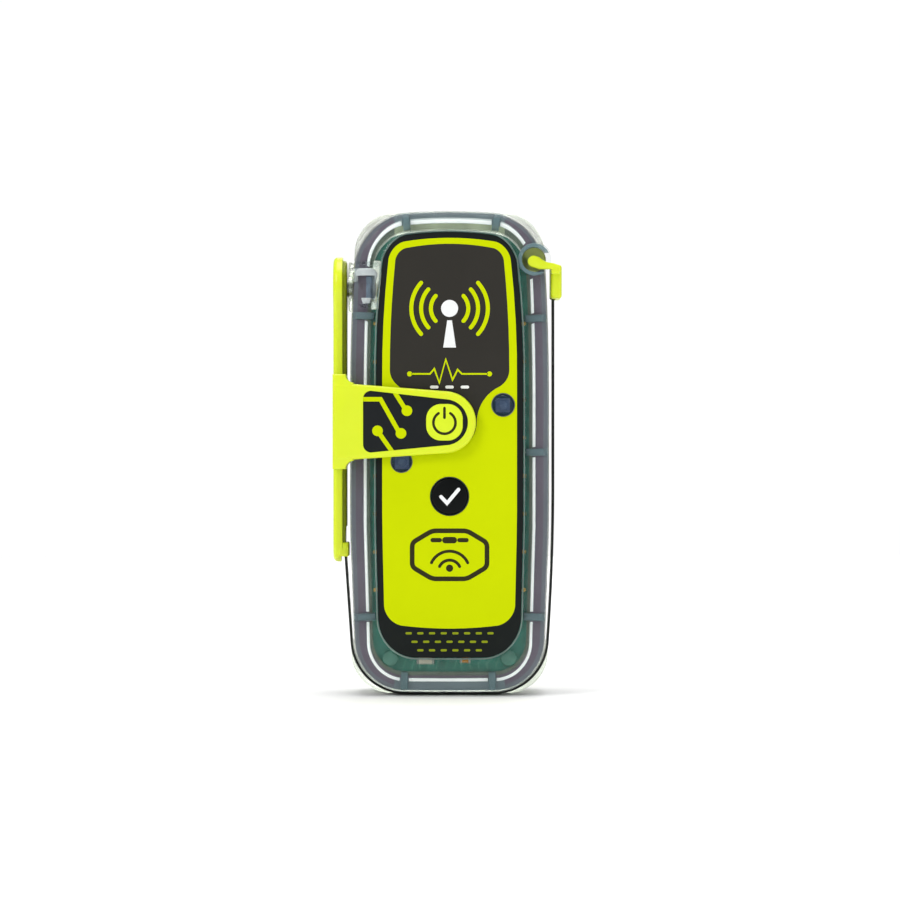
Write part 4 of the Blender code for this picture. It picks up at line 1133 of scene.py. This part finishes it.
def hub():
    centre = (0, HUB.y, HUB.z)
    shaft = turned("shaft", [(0, SHAFT_HIGH.x)] + rounded(2.2, SHAFT_HIGH.x, SHAFT_LOW.x,
                                                          0.3) + [(0, SHAFT_LOW.x)],
                   (1, 0, 0), centre, 48)
    finished(shaft, "steel", ["hub_shaft"], "arm")
    low, high = span("hub_o_ring")
    mid, half = (low.x + high.x) / 2, (high.x - low.x) / 2
    outer = (high.z - low.z) / 2
    thick = (outer - 2.5) / 2
    loop = [(outer - thick + thick * math.cos(a), mid + half * math.sin(a))
            for a in (math.tau * i / 16 for i in range(16))]
    finished(turned("shaft_o_ring", loop, (1, 0, 0), centre, 48), "rubber", ["hub_o_ring"])
    low, high = span("hub_washer")
    washer = turned("shaft_washer", rounded(3.5, high.x, low.x, 0.08) + [(2.5, low.x), (2.5, high.x)],
                    (1, 0, 0),
                    centre, 48)
    finished(washer, "steel", ["hub_washer"])
    low, high = span("hub_nut")
    nut = turned("shaft_nut", [(0, high.x), (3.1, high.x), (3.5, high.x - 0.25), (3.5, low.x + 0.25),
                               (3.1, low.x),
                               (0, low.x)], (1, 0, 0), centre, 6)
    combine(nut, "DIFFERENCE", rod("bore", (1, 0, 0), centre, 2.5, low.x - 1, high.x + 1, 0.05, 32))
    finished(nut, "steel", ["hub_nut"], "arm")
    left, right, low, high, wall = -21.0, -16.6, HUB.z - 4.9, HUB.z + 5.9, 1.05
    housing = prism("hub_housing", [rectangle(left, right, low, high)], -12.0, -0.5, 0.3, 0.3)
    inner = rectangle(left - 1, right + 1, low + wall, high - wall)
    combine(housing, "DIFFERENCE", prism("inner", [inner], -13.0, 0.5))
    finished(housing, "housing_clear")


# ---------------------------------------------------------------- arm and flap

ARM_HALF_DEPTH, ARM_HEAD_RADIUS = 4.4, 7.3
ARM_PLATE_INNER, ARM_INNER = -25.4, -24.4
FLAP_FRONT, FLAP_BACK = ARM_LOW.y, -17.0
FLAP_END_X, FLAP_END_Z, FLAP_END_RADIUS = -1.1, 64.6, 7.3
FLAP_LEFT_LOW, FLAP_LEFT_HIGH = 55.6, 73.9
FLAP_RIM = 1.9


def arm_side():
    """The arm seen from the side, as y, z points: round head, waist, round foot."""
    half = ARM_HALF_DEPTH
    head = arc(HUB.y, HUB.z, ARM_HEAD_RADIUS, -38, 218, 40)
    foot = arc(HUB.y, ARM_LOW.z + half, half, 180, 360, 20)
    waist = [(half + 0.9 * (1 - s) ** 2.2, 92.2 - 8.2 * s) for s in (i / 8 for i in range(1, 9))]
    left = [(HUB.y - w, z) for w, z in waist]
    right = [(HUB.y + w, z) for w, z in reversed(waist)]
    return head + left + foot + right


def flap_front(shrink, left, fillet):
    """The flap seen from the front: wide at the arm, tapering to a round end over the button."""
    low, high = FLAP_LEFT_LOW + shrink, FLAP_LEFT_HIGH - shrink
    return (arc(left + fillet, low + fillet, fillet, 180, 268, 8)
            + arc(FLAP_END_X, FLAP_END_Z, FLAP_END_RADIUS - shrink, -86, 86, 36)
            + arc(left + fillet, high - fillet, fillet, 92, 180, 8))


def arm_cuts():
    return (block("blade_slot", (-25.75, BLADE_LOW.y - 0.3, ARM_LOW.z - 1),
                  (-23.0, BLADE_HIGH.y + 0.3, 40.0), 0.1),
            rod("bore", (1, 0, 0), (0, HUB.y, HUB.z), 2.5, -26.6, -20, 0.1, 40))


def arm():
    outline = arm_side()
    made = side_prism("swing_arm", outline, ARM_LOW.x, ARM_PLATE_INNER, 1.1, 0.15, 6)
    squeezed = [(HUB.y + (y - HUB.y) * 0.82, ARM_LOW.z + 1 + (z - ARM_LOW.z) * 0.975) for y, z in outline]
    # The inner rib takes the arm colour painted darker as shade.
    rib = side_prism("arm_inner_rib", squeezed, ARM_PLATE_INNER - 0.02, ARM_INNER, 0, 0.6, 4)
    slot, bore = arm_cuts()
    combine(rib, "DIFFERENCE", bore, slot)
    finished(rib, "arm_painted_shade", body="arm")
    gusset = 2.0
    root = [(ARM_LOW.x + 0.15, FLAP_LEFT_LOW - gusset),
            *arc(ARM_INNER + gusset, FLAP_LEFT_LOW - gusset, gusset, 180, 95, 8),
            *arc(ARM_INNER + gusset, FLAP_LEFT_HIGH + gusset, gusset, 265, 180, 8),
            (ARM_LOW.x + 0.15, FLAP_LEFT_HIGH + gusset)]
    combine(made, "UNION", prism("bridge", [root], FLAP_FRONT + 0.1, HUB.y, 1.0, 0.2, 5),
            prism("plate", [flap_front(0.0, ARM_LOW.x + 0.3, 0.8)], FLAP_FRONT, FLAP_BACK, 0.7, 0.3, 5))
    combine(made, "UNION", block("foot", (-26.5, HUB.y - 4.2, 32.8), (-23.9, HUB.y + 4.2, 36.2), 0.4))
    slot, bore = arm_cuts()
    recess = prism("recess", [flap_front(FLAP_RIM, -20.3, 1.9)], FLAP_FRONT - 1, FLAP_FRONT + 0.8)
    combine(made, "DIFFERENCE", slot, recess, bore)
    finished(made, "arm_plastic", ["antenna_arm"], "arm", 28)


def pad_outline():
    return rounded_rectangle(PAD_LOW.x, PAD_HIGH.x, PAD_LOW.z, PAD_HIGH.z, 3.5, 12)


def flap_face():
    """The dark inlay of the flap with its circuit pattern and the pad with the power sign."""
    front = FLAP_LABEL_LOW.y
    inlay = prism("flap_inlay", [flap_front(FLAP_RIM + 0.02, -20.28, 1.9), pad_outline()], front + 0.02,
                  FLAP_LABEL_HIGH.y)
    finished(inlay, "flap_dark", ["flap_label"], "arm")
    lines = stroke([(-20.1, 70.0), (-16.2, 70.0), (-11.8, 62.2)], 1.05)
    lines += stroke([(-12.9, 71.7), (-10.2, 67.4)], 1.05)
    lines += stroke([(-16.9, 62.6), (-13.6, 57.9)], 1.05)
    dots = [circle(x, z, 1.25, 28) for x, z in ((-11.4, 62.0), (-10.0, 67.3), (-16.9, 62.6))]
    finished(prism("flap_lines", lines, front - 0.02, front + 0.03), "ink_yellow",
             body="arm")
    finished(prism("flap_dots", dots, front - 0.03, front + 0.03), "ink_yellow", body="arm")
    pad = prism("flap_pad", [pad_outline()], PAD_LOW.y, PAD_HIGH.y, 0.18, 0, 4)
    finished(pad, "pad_rubber", ["power_pad"], "arm")
    spot = (PAD_LOW + PAD_HIGH) / 2
    sign = power_sign(spot.x, spot.z - 0.1, 2.6, 0.62)
    finished(prism("flap_power_sign", sign, PAD_LOW.y - 0.02, PAD_LOW.y + 0.06), "ink_dark",
             body="arm")


# ---------------------------------------------------------------- blade and tip

def corner_point(side, angle):
    """A point on the blade's corner arc; side -1 is left; angle 0 is outermost and 90 degrees lowest."""
    return (side * (BLADE_CENTRE_X + BLADE_RADIUS * math.cos(angle)),
            BLADE_CENTRE_Z - BLADE_RADIUS * math.sin(angle))


def strip(name, path):
    """A flat spring strip along x, z points, with its long edges rounded."""
    rings = []
    low_y, high_y = BLADE_LOW.y, BLADE_HIGH.y
    half, edge = BLADE_THICK / 2, 0.16
    section = [(half, low_y + edge), (half, high_y - edge), (half - edge, high_y), (-half + edge, high_y),
               (-half, high_y - edge), (-half, low_y + edge), (-half + edge, low_y), (half - edge, low_y)]
    for i, (x, z) in enumerate(path):
        before, after = path[max(i - 1, 0)], path[min(i + 1, len(path) - 1)]
        along = Vector((after[0] - before[0], after[1] - before[1])).normalized()
        rings.append([(x - along.y * s, y, z + along.x * s) for s, y in section])
    return loft(name, rings)


def corner_run(side, start, end, steps=16):
    return [corner_point(side, start + (end - start) * i / steps) for i in range(steps + 1)]


def blade():
    """The strip in straight pieces, and one curved piece at each hinge of the CAD chain, attached to no
    body.
    """
    quarter_turn = math.pi / 2
    half_way = (BLADE_LEAN + quarter_turn) / 2
    start = corner_point(-1, BLADE_LEAN)
    top = 39.0
    root = [(start[0] - math.tan(BLADE_LEAN) * (top - start[1]), top)]
    root += between(root[0], start, 6) + [start]
    finished(strip("blade_root_strip", root), "blade_black", ["blade_root"], "arm")
    bends = [("blade_left_upper", -1, BLADE_LEAN, half_way, "arm", "blade_left", []),
             ("blade_left_lower", -1, half_way, quarter_turn, "blade_left", "blade_under",
              ["blade_left_1"]),
             ("blade_right_lower", 1, quarter_turn, half_way, "blade_under", "blade_right",
              ["blade_right_1"]),
             ("blade_right_upper", 1, half_way, BLADE_LEAN, "blade_right", "blade_side", [])]
    for name, side, first, last, body_a, body_b, nodes in bends:
        made = finished(strip(name, corner_run(side, first, last)), "blade_black", nodes,
                        None)
        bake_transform(made)
    left, right = corner_point(-1, quarter_turn), corner_point(1, quarter_turn)
    under = [left] + between(left, right, 8) + [right]
    finished(strip("blade_under_strip", under), "blade_black", ["blade_bottom"],
             "blade_under")
    foot = corner_point(1, BLADE_LEAN)
    side_path = [foot]
    for share in (i / 16 for i in range(1, 17)):
        side_path.append((foot[0] + (BLADE_STRAIGHT_X - foot[0]) * (1 - (1 - share) ** 2),
                          foot[1] + (BLADE_STRAIGHT_Z - foot[1]) * share))
    side_path.append((BLADE_STRAIGHT_X, BLADE_HIGH.z))
    finished(strip("blade_side_strip", side_path), "blade_black", ["blade_long"],
             "blade_side")


def tip():
    """The moulded end of the blade, whose tongue rests in the notch of the cover."""
    body = block("blade_end_cap", (23.9, -12.6, TIP_LOW.z), (TIP_HIGH.x, 0.0, 101.9), 0.7, 5)
    lower = [(19.9, NOTCH_Z - 1.9), (21.1, NOTCH_Z - 2.3), (25.4, NOTCH_Z - 2.3), (25.4, 100.2),
             (26.2, 100.2)]
    upper = [(26.2, 101.6), (24.6, NOTCH_Z - 0.9), (22.9, NOTCH_Z - 0.6), (21.9, NOTCH_Z - 0.1),
             (21.0, NOTCH_Z + 0.6)]
    head = arc(19.8, NOTCH_Z - 0.45, 1.4, 62, 258, 12)
    tongue = prism("tongue", [lower + upper + head], -14.7, -13.2, 0.5, 0.2, 5)
    neck = block("neck", (23.95, -14.6, 99.6), (26.0, -11.5, 101.5), 0.4)
    combine(body, "UNION", tongue, neck)
    slot = block("slot", (BLADE_STRAIGHT_X - 0.6, BLADE_LOW.y - 0.3, 93),
                 (BLADE_STRAIGHT_X + 0.6, BLADE_HIGH.y + 0.3, 98.5), 0.1)
    combine(body, "DIFFERENCE", slot)
    finished(body, "arm_plastic", ["blade_tip"], "blade_side", 28)


# ---------------------------------------------------------------- studio

def studio():
    """A pale floor, a white world that glass also sees, and four soft lights."""
    def lay(shape):
        bmesh.ops.create_grid(shape, x_segments=1, y_segments=1, size=1.15)
        bmesh.ops.translate(shape, vec=(0, 0, -0.00005), verts=shape.verts)

    ground = linked("floor", edited(bpy.data.meshes.new("floor"), lay))
    ground.data.materials.append(MATERIALS["floor"])
    world = bpy.context.scene.world = bpy.data.worlds.new("studio")
    world.use_nodes = True
    tree = world.node_tree
    tree.nodes.clear()
    light, seen, rays, either, choice, output = (
        tree.nodes.new("ShaderNode" + kind) for kind in
        ("Background", "Background", "LightPath", "Math", "MixShader", "OutputWorld"))
    for background, strength in ((light, 0.45), (seen, 1.02)):
        background.inputs["Color"].default_value = (1, 1, 1, 1)
        background.inputs["Strength"].default_value = strength
    either.operation = "MAXIMUM"
    for source, target in ((rays.outputs["Is Camera Ray"], either.inputs[0]),
                           (rays.outputs["Is Transmission Ray"], either.inputs[1]),
                           (either.outputs["Value"], choice.inputs["Fac"]),
                           (light.outputs["Background"], choice.inputs[1]),
                           (seen.outputs["Background"], choice.inputs[2]),
                           (choice.outputs["Shader"], output.inputs["Surface"])):
        tree.links.new(source, target)
    aim = Vector((0, 0, 0.058))
    for name, place, size, power in (("key", (-0.75, -0.85, 0.75), 0.45, 5.2),
                                     ("fill", (0.9, -0.7, 0.35), 0.7, 2.0),
                                     ("top", (0.0, 0.0, 1.2), 0.8, 9.0),
                                     ("back", (0.25, 1.1, 0.6), 0.8, 6.0)):
        data = bpy.data.lights.new(name, "AREA")
        data.size, data.energy = size, power
        made = linked(name, data)
        made.location = place
        made.rotation_mode = "QUATERNION"
        made.rotation_quaternion = (aim - Vector(place)).to_track_quat("-Z", "Y")


def camera():
    """Straight on to the face, at the height of the picture's middle."""
    distance, width_in_view = 0.9, 0.2118
    data = bpy.data.cameras.new("camera")
    data.sensor_width = 36.0
    data.lens = 36.0 * (distance + PLATEAU_FRONT * MM) / width_in_view
    data.clip_start = 0.05
    made = linked("camera", data)
    made.location = (0.0001, -distance, 0.0581)
    made.rotation_euler = (math.pi / 2, 0, 0)
    bpy.context.scene.camera = made


bpy.context.scene.view_settings.view_transform = "Standard"
for make in (front_cover, back_half, seal_and_ribs, joint_face, hub_window, post_caps, plateau_edge_highlight,
             notch_ring,
             face_print, face_icons, main_button, test_button, seals_and_switches):
    make()
lamp("strobe_lens", "strobe_led", STROBE_CENTRE)
lamp("status_lens", "status_led", STATUS_CENTRE)
board()
board_parts()
shield("rf_shield", 1)
shield("amplifier_shield", -1)
for make in (patch_antenna, oscillator_and_clip, cells, cradle, screws, back_print, hub, arm, flap_face,
             blade,
             tip, studio, camera):
    make()
